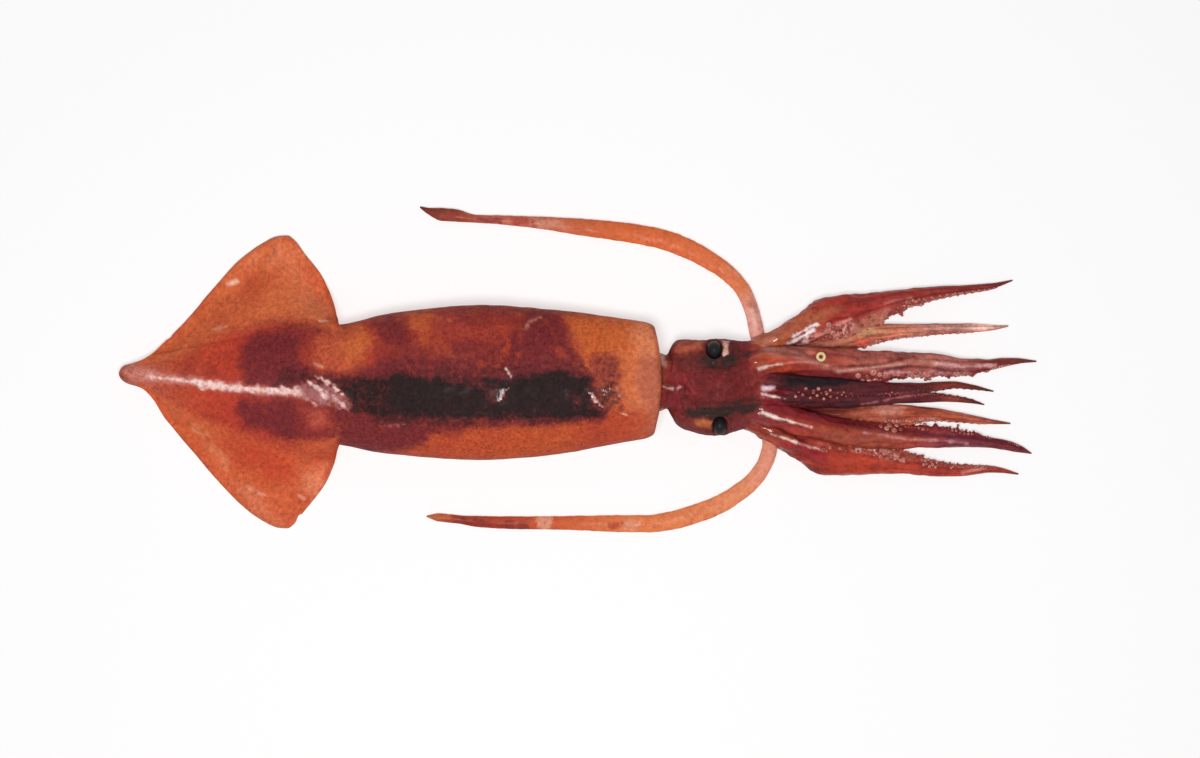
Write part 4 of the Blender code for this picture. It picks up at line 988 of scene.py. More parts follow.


# Lines over the arm roots and the crown: pale painted highlights, and darker lines painted in the gaps between
# neighbouring arms as painted shade.
rootHighlightsAndGapShade = (
    {"tone": "#fce4ee", "soft": 0.0037, "ragged": 0.003, "grain": 0.01, "paintedHighlight": True, "line": (
        (1.185, -0.012), (1.205, -0.009)), "width": 0.0081, "taper": 0.5},
    {"tone": "#ffece4", "soft": 0.0022, "ragged": 0.002, "grain": 0.01, "paintedHighlight": True, "line": (
        (1.183, -0.020), (1.198, -0.023), (1.227, -0.029)), "width": 0.0044, "taper": 1.0},
    {"tone": "#ffece0", "soft": 0.0024, "ragged": 0.002, "grain": 0.01, "paintedHighlight": True, "line": (
        (1.185, -0.054), (1.205, -0.062), (1.231, -0.069), (1.274, -0.081)), "width": 0.0055, "taper": 0.9},
    {"tone": "#ffe8d4", "soft": 0.0024, "ragged": 0.002, "grain": 0.01, "paintedHighlight": True, "line": (
        (1.248, -0.109), (1.224, -0.101), (1.200, -0.093)), "width": 0.0055, "taper": 0.9},
    {"tone": "#f6c4b8", "soft": 0.0022, "amount": 0.9, "ragged": 0.002, "grain": 0.01, "paintedHighlight": True, "line": (
        (1.253, -0.111), (1.275, -0.118), (1.303, -0.124)), "width": 0.0041, "taper": 0.9},
    {"tone": "#f8d4c8", "soft": 0.0024, "amount": 0.95, "ragged": 0.002, "grain": 0.01, "paintedHighlight": True, "line": (
        (1.177, 0.026), (1.192, 0.030), (1.220, 0.035)), "width": 0.0052, "taper": 0.9},
    {"tone": "#dc9c90", "soft": 0.0022, "amount": 0.6, "ragged": 0.002, "line": (
        (1.214, 0.034), (1.238, 0.038), (1.272, 0.038), (1.312, 0.031)), "width": 0.0018},
    {"tone": "#d8a49c", "soft": 0.0055, "amount": 0.5, "ragged": 0.004, "line": (
        (1.189, 0.074), (1.207, 0.081)), "width": 0.0055},
    # the four dark lines below are painted shade in the gaps between arms
    {"tone": "#5c1e22", "soft": 0.0026, "amount": 0.7, "ragged": 0.003, "line": (
        (1.176, -0.031), (1.211, -0.039), (1.257, -0.054), (1.312, -0.068)), "width": 0.0037},
    {"tone": "#5c2026", "soft": 0.0026, "amount": 0.6, "ragged": 0.003, "line": (
        (1.179, 0.009), (1.211, 0.015), (1.257, 0.022), (1.312, 0.022)), "width": 0.0037},
    {"tone": "#7a2a26", "soft": 0.0026, "amount": 0.6, "ragged": 0.003, "line": (
        (1.168, 0.057), (1.211, 0.057), (1.257, 0.050)), "width": 0.003},
    {"tone": "#7a2a26", "soft": 0.0026, "amount": 0.6, "ragged": 0.003, "line": (
        (1.179, -0.074), (1.211, -0.087), (1.257, -0.098), (1.312, -0.105)), "width": 0.0033},
)


def limbStations(knots):
    steps = [0.0] + [math.dist(a[:3], b[:3]) for a, b in zip(knots, knots[1:])]
    return [(along, *knot) for along, knot in zip(np.cumsum(steps), knots)]


def limbFrame(stations, along):
    # centre line, sideways and upward directions along a limb
    def at(shifted):
        return np.stack([through(stations, shifted, column) for column in (1, 2, 3)], axis=-1)
    run = at(along + 0.004) - at(along - 0.004)
    run /= np.linalg.norm(run, axis=-1, keepdims=True)
    side = np.stack([-run[..., 1], run[..., 0], 0 * run[..., 0]], axis=-1)
    side /= np.linalg.norm(side, axis=-1, keepdims=True)
    return at(along), side, np.cross(run, side)


def webReach(arm, stations, along, x):
    web = through(stations, along, 6)
    wave = arm["scallop"] * np.maximum(0, np.sin(x * 460)) * softStep(1.30, 1.36, x) * softStep(1.63, 1.55, x)
    for place, reach, width in arm.get("teeth", ()):
        wave = wave + reach * np.exp(-np.abs((x - place) / width * 1.6) ** 2.6)
    return web + wave


def armGrid(arm, seed):
    stations = limbStations(arm["knots"])
    along = np.linspace(0, stations[-1][0], armShape["rings"])
    place, side, up = limbFrame(stations, along)
    turn = np.radians(np.linspace(0, 360, armShape["sides"], endpoint=False))[None, :]
    halfWidth = through(stations, along, 4)[:, None]
    halfHeight = through(stations, along, 5)[:, None]
    web = webReach(arm, stations, along, place[:, 0])[:, None]
    webTurn = 0 if arm["webSide"] > 0 else math.pi
    offset = np.degrees(np.abs((turn - webTurn + math.pi) % (2 * math.pi) - math.pi))
    spread = armShape["webAngle"]
    out = np.where(offset < spread, 0.5 + 0.5 * np.cos(np.pi * offset / spread), 0)
    reach = halfWidth * np.cos(turn) + arm["webSide"] * web * out
    points = place[:, None] + side[:, None] * reach[..., None] + up[:, None] * (
        halfHeight * np.sin(turn))[..., None]
    webward = np.cos(turn) * arm["webSide"] + 0 * halfWidth
    size = np.minimum(halfWidth, halfHeight)
    crumpled = cloud(points * (0.3, 1.0, 1.0), 0.013, seed, 3)
    groove = -0.10 * np.exp(-((offset - 62) / 13) ** 2) - 0.07 * np.exp(-((offset - 118) / 11) ** 2)
    relief = size * (0.15 * crumpled + groove * softStep(1.17, 1.25, points[..., 0]))
    points = points + outward(points) * relief[..., None]
    points[..., 2] = np.maximum(points[..., 2], armShape["rise"])
    return points, webward


def paintArm(points, webward, arm, seed):
    x = points[..., 0]
    paint = blankPaint(points, arm["tones"], x)
    colour = paint["colour"]
    blendTone(colour, arm["webTone"], 0.85 * softStep(0.45, 0.9, webward) * softStep(1.22, 1.30, x))
    blendTone(colour, "#4a2024", 0.5 * softStep(-0.78, -0.99, webward))
    streaks = cloud(points * (0.16, 1.0, 1.0), 0.008, seed + 3, 3)
    colour *= 1 + 0.45 * softStep(0.1, 0.9, -streaks)[..., None] * (1.0, 1.15, 1.0)
    # painted shade: the grooves along each arm are darkened through the stain layer
    grooveShade = np.exp(-((np.abs(webward) - 0.47) / 0.13) ** 2) * softStep(1.17, 1.25, x)
    paint["stain"] = np.maximum(0.5 * softStep(0.0, 0.8, streaks) + 0.08, 0.5 * grooveShade)
    paintPatches(paint, points, arm.get("patches", ()), seed)
    # painted highlights on the arm roots and painted shade in the gaps between arms
    paintPatches(paint, points, rootHighlightsAndGapShade, 160)
    under = softStep(-0.2, -0.6, outward(points)[..., 2])
    blendTone(colour, "#c4806c", 0.6 * under)
    colour[:] = np.maximum(colour * 1.11 - 0.009, 0.004)    # makes up for the haze of the wet film
    return paint


def glintCover(points, patches):
    # full wet coat, which hides the mottling, along the painted highlight lines
    cover = np.zeros(points.shape[:-1])
    for patch in patches:
        if patch.get("paintedHighlight"):
            distance = lineDistance(points[..., 0], points[..., 1], patch["line"])
            cover = np.maximum(cover, softStep(0.0018, -0.0028, distance - patch["width"] / 2))
    return cover


def suckerSpots(arm, number):
    # two staggered rows along the web side, smaller towards the tip
    start, end, radius, paleness = arm["suckers"]
    stations = limbStations(arm["knots"])
    spots, x, row = [], start, 0
    while x < end:
        chance = cloud(np.array([x * 60, number * 3.7, 0.5]), 1.0, 9, 1)
        size = radius * (1 - 0.75 * (x - start) / (end - start)) * (1 + 0.45 * chance)
        along = np.interp(x, [knot[1] for knot in stations], [knot[0] for knot in stations])
        place, side, up = limbFrame(stations, np.array([along]))
        rows = arm.get("rows", (26, -6))
        lean = math.radians(rows[row % len(rows)] + 14 * chance)
        across, rise = math.cos(lean) * arm["webSide"], math.sin(lean)
        halfWidth = through(stations, np.array([along]), 4)[0]
        halfHeight = through(stations, np.array([along]), 5)[0]
        web = webReach(arm, stations, np.array([along]), place[:, 0])[0]
        spread = math.cos(math.radians(90) * min(1, abs(math.degrees(lean)) / armShape["webAngle"])) ** 2
        reach = halfWidth * across + arm["webSide"] * web * spread
        spot = place[0] + side[0] * reach + up[0] * (halfHeight * rise + 0.05 * size)
        facing = side[0] * across * 0.8 + np.array([0.3 * chance, 0, 0.4 + rise])
        shade = min(1, max(0, paleness + 0.5 * math.sin(row * 2.3 + number) + 0.4 * chance))
        spots.append((spot, size, facing, shade))
        x += size * arm.get("spacing", 1.9) / len(rows)
        row += 1
    return spots


def interfaceSocket(tree, name, kind, direction="INPUT", value=None):
    socket = tree.interface.new_socket(name=name, in_out=direction, socket_type=kind)
    if value is not None:
        socket.default_value = value
    return socket


def runNodes(piece, tree, values):
    # runs a geometry tree on a piece and keeps the result as a plain mesh
    modifier = piece.modifiers.new("build", "NODES")
    modifier.node_group = tree
    for item in tree.interface.items_tree:
        if item.item_type == "SOCKET" and item.in_out == "INPUT" and item.name in values:
            modifier[item.identifier] = values[item.name]
    bpy.context.view_layer.update()
    evaluated = piece.evaluated_get(bpy.context.evaluated_depsgraph_get())
    mesh = bpy.data.meshes.new_from_object(evaluated)
    piece.modifiers.remove(modifier)
    piece.data = mesh
    return piece


suckerTone = {"pale": "#cc8474", "dark": "#93382f", "pit": "#9c4840"}


def suckerMaterial():
    # soft cups with a horny ring: wet flesh between pale and dark red, painted darker in the hollow as painted shade
    material = bpy.data.materials.new("suckerFlesh")
    material.use_nodes = True
    tree = material.node_tree
    shader = tree.nodes["Principled BSDF"]
    pit = addNode(tree, "ShaderNodeAttribute", attribute_name="pit").outputs["Fac"]
    pale = addNode(tree, "ShaderNodeAttribute", attribute_name="paleness").outputs["Fac"]
    where = addNode(tree, "ShaderNodeTexCoord").outputs["Object"]
    flesh = addNode(tree, "ShaderNodeMix", {
        "Factor": pale, 6: (*toLinear(suckerTone["dark"]), 1), 7: (*toLinear(suckerTone["pale"]), 1)},
        data_type="RGBA")
    clouds = addNode(tree, "ShaderNodeTexNoise", {"Vector": where, "Scale": 1 / (0.9 * millimetre)})
    shade = addNode(tree, "ShaderNodeMapRange", {"Value": clouds.outputs["Fac"], "To Min": 0.8, "To Max": 1.15})
    varied = addNode(tree, "ShaderNodeHueSaturation", {"Color": flesh.outputs[2], "Value": shade.outputs["Result"]})
    # painted shade: the cup's walls and floor are darkened toward the pit tone
    hollow = addNode(tree, "ShaderNodeMix", {
        "Factor": pit, 6: varied.outputs["Color"], 7: (*toLinear(suckerTone["pit"]), 1)}, data_type="RGBA")
    tree.links.new(hollow.outputs[2], shader.inputs["Base Color"])
    shader.inputs["Roughness"].default_value = 0.3
    shader.inputs["Coat Weight"].default_value = 0.35
    shader.inputs["Coat Roughness"].default_value = 0.12
    shader.inputs["Subsurface Weight"].default_value = 0.15
    shader.inputs["Subsurface Scale"].default_value = 0.8 * millimetre
    return material


def suckerTree():
    # a ring and a cup on every point, facing the way the point says
    tree = bpy.data.node_groups.new("suckerRows", "GeometryNodeTree")
    interfaceSocket(tree, "Geometry", "NodeSocketGeometry")
    interfaceSocket(tree, "Ring Sides", "NodeSocketInt", value=9)
    interfaceSocket(tree, "Lip Thickness", "NodeSocketFloat", value=0.52)
    interfaceSocket(tree, "Cup Depth", "NodeSocketFloat", value=0.8)
    interfaceSocket(tree, "Material", "NodeSocketMaterial")
    interfaceSocket(tree, "Geometry", "NodeSocketGeometry", "OUTPUT")
    given = addNode(tree, "NodeGroupInput").outputs
    circle = addNode(tree, "GeometryNodeCurvePrimitiveCircle", {"Resolution": given["Ring Sides"], "Radius": 0.56})
    lip = addNode(tree, "GeometryNodeCurvePrimitiveCircle", {"Resolution": 6, "Radius": given["Lip Thickness"]})
    ring = addNode(tree, "GeometryNodeCurveToMesh", {"Curve": circle.outputs[0], "Profile Curve": lip.outputs[0]})
    cup = addNode(tree, "GeometryNodeMeshCone", {
        "Vertices": given["Ring Sides"], "Radius Top": 0.40, "Radius Bottom": 0.78, "Depth": given["Cup Depth"]})
    turned = addNode(tree, "GeometryNodeTransform", {"Geometry": cup.outputs[0], "Rotation": (math.pi, 0.0, 0.0)})
    pit = addNode(tree, "GeometryNodeMeshCircle", {"Vertices": given["Ring Sides"], "Radius": 0.32},
                  fill_type="NGON")
    lifted = addNode(tree, "GeometryNodeTransform", {"Geometry": pit.outputs[0], "Translation": (0.0, 0.0, 0.30)})
    parts = []
    for shape, depth in ((ring.outputs[0], 0.0), (turned.outputs[0], 0.2), (lifted.outputs[0], 1.0)):
        marked = addNode(tree, "GeometryNodeStoreNamedAttribute", {
            "Geometry": shape, "Name": "pit", "Value": depth}, data_type="FLOAT", domain="POINT")
        parts.append(marked.outputs[0])
    whole = addNode(tree, "GeometryNodeJoinGeometry")
    for part in reversed(parts):
        tree.links.new(part, whole.inputs[0])
    facing = addNode(tree, "GeometryNodeInputNamedAttribute", {"Name": "facing"}, data_type="FLOAT_VECTOR")
    size = addNode(tree, "GeometryNodeInputNamedAttribute", {"Name": "size"}, data_type="FLOAT")
    turn = addNode(tree, "FunctionNodeAlignRotationToVector", {"Vector": facing.outputs["Attribute"]}, axis="Z")
    spread = addNode(tree, "GeometryNodeInstanceOnPoints", {
        "Points": given["Geometry"], "Instance": whole.outputs[0], "Rotation": turn.outputs[0],
        "Scale": size.outputs["Attribute"]})
    real = addNode(tree, "GeometryNodeRealizeInstances", {"Geometry": spread.outputs[0]})
    smooth = addNode(tree, "GeometryNodeSetShadeSmooth", {"Geometry": real.outputs[0]})
    dressed = addNode(tree, "GeometryNodeSetMaterial", {
        "Geometry": smooth.outputs[0], "Material": given["Material"]})
    addNode(tree, "NodeGroupOutput", {0: dressed.outputs[0]})
    return tree


def makeSuckers(name, spots, tree, material):
    mesh = bpy.data.meshes.new(name + "Spots")
    mesh.from_pydata(inMetres([spot[0] for spot in spots]).tolist(), [], [])
    layers = (("size", "FLOAT", "value", [spot[1] * mantleLength for spot in spots]),
              ("paleness", "FLOAT", "value", [spot[3] for spot in spots]),
              ("facing", "FLOAT_VECTOR", "vector", [spot[2] for spot in spots]))
    for label, kind, field, values in layers:
        layer = mesh.attributes.new(label, kind, "POINT")
        layer.data.foreach_set(field, np.array(values, np.float32).ravel())
    piece = runNodes(linkPiece(name, mesh), tree, {"Material": material})
    return finishPiece(piece, material, "head")


def makeArms(material):
    spots = []
    for number, (name, arm) in enumerate(arms.items()):
        points, webward = armGrid(arm, 200 + 10 * number)
        mesh = skinMesh(name + "Arm", points)
        wet = 0.45 + 0.2 * cloud(points, 0.02, 300 + number)
        wet = np.maximum(wet, glintCover(points, rootHighlightsAndGapShade + arm.get("patches", ())))
        paint = paintArm(points, webward, arm, 400 + 20 * number)
        storeLooks(mesh, paint, np.clip(wet, 0, 1), 0.7)
        finishPiece(linkPiece(name + "Arm", mesh), material, "head")
        spots += suckerSpots(arm, number)
    return spots


armLook = {
    "blushTone": "#8a2c2a", "blushAmount": 0.4, "blushSize": 1.6 * millimetre,
    "stainTone": "#571c20", "inkTone": "#241a1e", "stainGrain": 2 * millimetre, "raggedness": 1.0,
    "cloudSize": 3 * millimetre, "cloudDepth": 0.22,
    "fleckRows": ((1.3 * millimetre, 0.3, 0.4),),
    "fleckTint": (0.6, 0.4, 0.4),
    "filmSize": 2 * millimetre, "roughness": (0.5, 0.62), "specular": 0.12,
    "coatRoughness": 0.06, "filmIor": 1.45,
    "glow": 0.12, "glowDepth": 1.2 * millimetre,
    "wrinkleSize": 1.2 * millimetre, "wrinkleStrength": 0.2,
}
wetArmSkin = wetSkin("wetArmSkin", armLook)
armSuckers = makeArms(wetArmSkin)
makeSuckers("armSuckers", armSuckers, suckerTree(), suckerMaterial())
print("arms made, with", len(armSuckers), "suckers")


# Head skin: neck, two nape lobes, a domed crown and the eyelids.
headSkin = {
    "halfWidth": (
        (0.970, 0.050), (0.990, 0.056), (1.001, 0.053), (1.009, 0.0505), (1.0185, 0.066), (1.028, 0.0775),
        (1.042, 0.083), (1.087, 0.0875),
        (1.110, 0.0885), (1.153, 0.081), (1.183, 0.083), (1.220, 0.074), (1.257, 0.052), (1.300, 0.016)),
    "top": (
        (0.970, 0.092), (1.008, 0.106), (1.042, 0.121), (1.087, 0.129), (1.130, 0.126), (1.165, 0.112),
        (1.200, 0.088), (1.240, 0.066), (1.300, 0.046)),
    "belly": ((0.970, 0.022), (1.008, 0.016), (1.042, 0.0), (1.220, 0.0), (1.300, 0.016)),
    "sway": ((0.970, 0.001), (1.009, 0.0023), (1.0185, 0.003), (1.028, 0.001), (1.042, -0.002), (1.087, -0.0083),
             (1.153, -0.004), (1.300, -0.009)),
    "rings": 190, "sides": 220, "filletWidth": 0.013,
}
eyeballs = {
    "eye_left": {"at": (1.0960, 0.0602, 0.0935), "size": (0.0152, 0.0165, 0.0245)},
    "eye_right": {"at": (1.1063, -0.0778, 0.086), "size": (0.0146, 0.0178, 0.0245)},
}


def headGrid():
    s = headSkin
    stations = np.linspace(s["halfWidth"][0][0], s["halfWidth"][-1][0], s["rings"])[:, None]
    turn = np.radians(np.linspace(-90, 270, s["sides"], endpoint=False))[None, :]
    halfWidth, sway = through(s["halfWidth"], stations), through(s["sway"], stations)
    top, belly = through(s["top"], stations), through(s["belly"], stations)
    middle = belly + mantleSkin["widestLevel"] * (top - belly)
    across = halfWidth * np.sign(np.cos(turn)) * np.abs(np.cos(turn)) ** 0.88
    low = np.maximum(belly, middle + mantleSkin["bellyFlatness"] * (middle - belly) * np.sin(turn))
    height = np.where(np.sin(turn) >= 0, middle + (top - middle) * np.sin(turn), low)
    return np.stack([stations + 0 * turn, sway + across, height], axis=-1)


headFolds = (
    {"line": ((0.991, -0.007), (1.006, -0.007), (1.020, -0.009),
        (1.037, -0.007)), "width": 0.0092, "lift": -0.008},
    {"line": ((1.046, 0.007), (1.039, -0.004), (1.037, -0.015), (1.043, -0.030),
        (1.059, -0.041)), "width": 0.0074, "lift": -0.005},
    {"line": ((1.004, 0.063), (1.011, 0.050), (1.017, 0.039),
        (1.017, 0.024)), "width": 0.0074, "lift": -0.007},
    {"line": ((1.002, -0.048), (1.015, -0.048), (1.028, -0.054),
        (1.043, -0.065)), "width": 0.0074, "lift": -0.005},
    {"line": ((1.030, -0.011), (1.030, -0.028), (1.035, -0.043)), "width": 0.0055, "lift": -0.004},
    {"line": ((1.054, -0.035), (1.100, -0.037), (1.168, -0.031)), "width": 0.0048, "lift": -0.0028},
    {"line": ((1.054, -0.046), (1.109, -0.050), (1.176, -0.043)), "width": 0.0048, "lift": -0.0030},
    {"line": ((1.072, -0.057), (1.118, -0.059), (1.168, -0.054)), "width": 0.0048, "lift": -0.0028},
    {"line": ((1.079, 0.031), (1.116, 0.031), (1.161, 0.043)), "width": 0.0074, "lift": -0.0035},
    {"line": ((1.128, 0.070), (1.150, 0.061), (1.176, 0.061)), "width": 0.0074, "lift": -0.0025},
    {"line": ((1.124, -0.076), (1.150, -0.072), (1.179, -0.083)), "width": 0.0055, "lift": -0.003},
)
headLumps = (
    {"at": (1.015, 0.022), "size": (0.0203, 0.024), "lift": 0.008},
    {"at": (1.013, -0.030), "size": (0.0185, 0.0166), "lift": 0.008},
    {"at": (1.092, -0.002), "size": (0.0499, 0.0407), "lift": 0.0035},
    {"at": (1.116, 0.063), "size": (0.0092, 0.0148), "lift": 0.006},
    {"at": (1.072, -0.074), "size": (0.0166, 0.0111), "lift": 0.003},
    {"at": (1.050, 0.065), "size": (0.024, 0.0129), "lift": 0.003},
)


def crownFillet(points):
    # the head's skin flows up over the root of each arm and dips under it a little further out
    x, y, z = points[..., 0], points[..., 1], points[..., 2]
    best, tone = np.full(x.shape, -1.0), np.zeros(points.shape)
    for arm in arms.values():
        knots = arm["knots"]
        middle, height = through(knots, x, 1), through(knots, x, 2)
        halfWidth, halfHeight = through(knots, x, 3), through(knots, x, 4)
        slope = (through(knots, x + 0.01, 1) - middle) / 0.01
        off = np.abs(y - middle) / np.sqrt(1 + slope ** 2)
        top = height + halfHeight * np.sqrt(np.maximum(0, 1 - (off / halfWidth) ** 2))
        top -= 2.5 * np.maximum(0, off - halfWidth)
        nearer = top > best
        best = np.where(nearer, top, best)
        tone[nearer] = toneAlong(arm["tones"], x[nearer])
    width = headSkin["filletWidth"]
    share = np.clip(0.5 + 0.5 * (best - z) / width, 0, 1)
    raised = z + (best - z) * share + width * share * (1 - share)
    raised -= 0.005 * softStep(0.82, 1.0, share)
    fade = softStep(1.115, 1.14, x) * softStep(1.27, 1.23, x)
    return z + (raised - z) * fade, share * fade, tone


def shapeHead(grid):
    points = grid.copy()
    x, y = points[..., 0], points[..., 1]
    normals = outward(points)
    up = softStep(-0.05, 0.4, normals[..., 2])
    lift = 0.0012 * cloud(points, 0.045, 51) + 0.0007 * cloud(points, 0.012, 52, 2)
    net = 1 - np.abs(cloud(points, 0.016, 53, 2))
    lift += up * 0.0010 * softStep(0.6, 1.0, net)
    for fold in headFolds:
        distance = lineDistance(x, y, fold["line"])
        lift += up * fold["lift"] * np.exp(-(distance / (fold["width"] / 2)) ** 2)
    for lump in headLumps:
        reach = np.hypot((x - lump["at"][0]) / lump["size"][0], (y - lump["at"][1]) / lump["size"][1])
        lift += up * lump["lift"] * np.clip(1 - reach ** 2, 0, 1)
    points += normals * lift[..., None]
    for eye in eyeballs.values():
        reach = np.hypot((x - eye["at"][0]) / eye["size"][0], (y - eye["at"][1]) / eye["size"][1])
        rim = 0.0036 * np.exp(-((reach - 1.18) / 0.17) ** 2) - 0.016 * softStep(0.97, 0.75, reach)
        points += normals * (up * rim)[..., None]
    points[..., 2] += (crownFillet(points)[0] - points[..., 2]) * up
    points[..., 2] = np.maximum(points[..., 2], 0.0)
    return points


headPatches = (
    {"tone": "#9b4b3d", "soft": 0.0092, "amount": 0.8, "outline": ((0.991, 0.039), (1.013, 0.043),
        (1.018, 0.024), (1.006, 0.006), (0.989, 0.009))},
    {"tone": "#eeb4a0", "soft": 0.0046, "amount": 0.95, "outline": ((0.989, 0.068), (1.000, 0.063),
        (1.009, 0.050), (1.006, 0.031), (0.993, 0.033))},
    {"tone": "#7e2d30", "soft": 0.0092, "amount": 0.8, "outline": ((1.009, 0.024), (1.035, 0.031),
        (1.050, 0.009), (1.031, -0.006), (1.007, -0.002))},
    {"tone": "#7c3034", "soft": 0.0055, "amount": 0.95, "outline": (
        (0.998, -0.015), (1.013, -0.011), (1.028, -0.017), (1.033, -0.037), (1.020, -0.048),
        (1.000, -0.041))},
    {"tone": "#dcac9c", "soft": 0.0037, "amount": 0.9, "line": ((0.998, -0.050),
        (1.002, -0.061)), "width": 0.0074},
    {"tone": "#ca6a4e", "soft": 0.0111, "amount": 0.95, "ragged": 0.008, "grain": 0.015, "outline": (
        (1.024, 0.074), (1.072, 0.079), (1.079, 0.061), (1.057, 0.054), (1.028, 0.059))},
    {"tone": "#663330", "soft": 0.0111, "amount": 0.85, "ragged": 0.006, "outline": (
        (1.020, 0.050), (1.072, 0.050), (1.087, 0.035), (1.061, 0.017), (1.024, 0.028))},
    {"tone": "#6c2b2c", "soft": 0.0129, "amount": 0.7, "ragged": 0.006, "outline": (
        (1.057, 0.017), (1.146, 0.017), (1.168, -0.006), (1.176, -0.035), (1.102, -0.035),
        (1.057, -0.031))},
    {"ink": 0.5, "soft": 0.0111, "ragged": 0.010, "grain": 0.012, "line": (
        (1.072, 0.039), (1.102, 0.035), (1.131, 0.039)), "width": 0.024},
    {"ink": 0.9, "soft": 0.0092, "ragged": 0.012, "grain": 0.012, "line": (
        (1.085, 0.039), (1.105, 0.035), (1.128, 0.040), (1.150, 0.050),
        (1.168, 0.059)), "width": 0.0185, "taper": 0.8},
    {"ink": 0.55, "soft": 0.0111, "ragged": 0.010, "grain": 0.012, "line": (
        (1.050, -0.052), (1.079, -0.050), (1.116, -0.046), (1.150, -0.041),
        (1.177, -0.035)), "width": 0.0203},
    {"ink": 0.95, "soft": 0.0092, "ragged": 0.012, "grain": 0.012, "line": (
        (1.113, -0.053), (1.135, -0.050), (1.157, -0.045), (1.176, -0.039)), "width": 0.0185, "taper": 0.8},
    {"ink": 0.95, "soft": 0.0092, "ragged": 0.012, "grain": 0.012, "line": (
        (1.116, -0.053), (1.094, -0.055), (1.072, -0.055), (1.050, -0.052)), "width": 0.0185, "taper": 0.8},
    {"ink": 0.7, "soft": 0.0037, "ragged": 0.004, "grain": 0.012, "line": (
        (1.076, -0.038), (1.116, -0.036), (1.176, -0.030)), "width": 0.0037},
    {"tone": "#6e3230", "soft": 0.003, "amount": 0.5, "ragged": 0.003, "line": (
        (1.079, -0.043), (1.128, -0.040), (1.176, -0.035)), "width": 0.003},
    {"tone": "#b86a44", "soft": 0.0055, "amount": 0.95, "ragged": 0.005, "grain": 0.012, "outline": (
        (1.054, -0.067), (1.076, -0.065), (1.092, -0.072), (1.089, -0.083), (1.070, -0.081),
        (1.055, -0.074))},
    {"tone": "#743533", "soft": 0.0074, "amount": 0.8, "outline": (
        (1.006, -0.046), (1.028, -0.054), (1.050, -0.068), (1.072, -0.089), (1.035, -0.087),
        (1.006, -0.057))},
    {"tone": "#77383a", "soft": 0.0074, "amount": 0.8, "outline": ((1.122, -0.067), (1.150, -0.065),
        (1.157, -0.087), (1.128, -0.089))},
    {"tone": "#a3443a", "soft": 0.0111, "amount": 0.8, "outline": ((1.161, 0.079), (1.194, 0.072),
        (1.190, 0.020), (1.165, 0.024))},
    {"tone": "#964841", "soft": 0.0111, "amount": 0.8, "outline": ((1.157, -0.061), (1.201, -0.068),
        (1.198, -0.105), (1.168, -0.092))},
    {"tone": "#a83c44", "soft": 0.0028, "amount": 0.7, "ragged": 0.003, "line": (
        (1.043, 0.007), (1.050, -0.007), (1.059, -0.018)), "width": 0.0041},
    # pale lines in the nape cleft: painted highlights
    {"tone": "#fad0c4", "soft": 0.0022, "amount": 1.0, "ragged": 0.002, "line": (
        (1.002, -0.006), (1.009, -0.009), (1.020, -0.010)), "width": 0.0052},
    {"tone": "#f0b4a8", "soft": 0.0022, "amount": 0.95, "ragged": 0.002, "line": (
        (1.028, -0.011), (1.035, -0.006)), "width": 0.0041},
    {"tone": "#f2c4b2", "soft": 0.0022, "amount": 0.95, "ragged": 0.002, "grain": 0.01, "outline": (
        (1.111, 0.078), (1.126, 0.078), (1.120, 0.065), (1.122, 0.054), (1.113, 0.046), (1.109, 0.054),
        (1.115, 0.065))},
    {"tone": "#c08070", "soft": 0.003, "amount": 0.6, "ragged": 0.003, "line": (
        (1.102, 0.081), (1.128, 0.081)), "width": 0.0037},
    {"ink": 0.8, "soft": 0.0037, "ragged": 0.003, "line": ((1.129, 0.074), (1.131, 0.061),
        (1.128, 0.048)), "width": 0.0044},
)


def paintHead(points):
    x = points[..., 0]
    paint = blankPaint(points, (
        (0.97, "#a25645"), (1.0, "#9c4e40"), (1.015, "#883a36"), (1.04, "#763133"), (1.08, "#6a2c2e"),
        (1.13, "#672b2e"), (1.160, "#783133"), (1.18, "#97403a"), (1.2, "#a0423a")), x)
    colour = paint["colour"]
    paint["stain"] = 0.6 * softStep(-0.1, 0.9, cloud(points, 0.012, 62, 3)) + 0.05
    paintPatches(paint, points, headPatches, 120)
    net = softStep(0.72, 0.98, 1 - np.abs(cloud(points, 0.014, 61, 2)))
    blendTone(colour, "#94443e", 0.25 * net * softStep(1.03, 1.05, x))
    share, tone = crownFillet(points)[1:]
    rooted = softStep(0.35, 0.8, share) * softStep(1.13, 1.16, x)
    blendTone(colour, tone, 0.8 * rooted)
    paint["ink"] *= 1 - 0.7 * rooted
    # painted highlights on the arm roots and painted shade in the gaps between arms
    paintPatches(paint, points, rootHighlightsAndGapShade, 160)
    level = outward(points)[..., 2]
    # painted shade: the skin is darkened where it turns steeply down at the sides
    blendTone(colour, "#5a2a2a", 0.4 * softStep(0.45, 0.0, np.abs(level)))
    under = softStep(-0.1, -0.5, level)
    blendTone(colour, "#c98a72", 0.8 * under)
    paint["stain"] *= 1 - under
    paint["ink"] *= 1 - under
    colour[:] = np.maximum(colour * 1.06 - 0.008, 0.004)    # makes up for the haze of the wet film
    return paint


def makeHead(material):
    points = shapeHead(headGrid())
    mesh = skinMesh("headSkin", points)
    x, y = points[..., 0], points[..., 1]
    wet = 0.05 * cloud(points, 0.02, 63)
    wet += 0.3 * softStep(1.155, 1.19, x)
    cleft = lineDistance(x, y, headFolds[0]["line"])
    wet = np.maximum(wet, 0.9 * softStep(0.0074, 0.0028, cleft))
    wet = np.clip(np.maximum(wet, glintCover(points, rootHighlightsAndGapShade)), 0, 1)
    storeLooks(mesh, paintHead(points), wet, 0.8)
    return finishPiece(linkPiece("headSkin", mesh), material, "head")


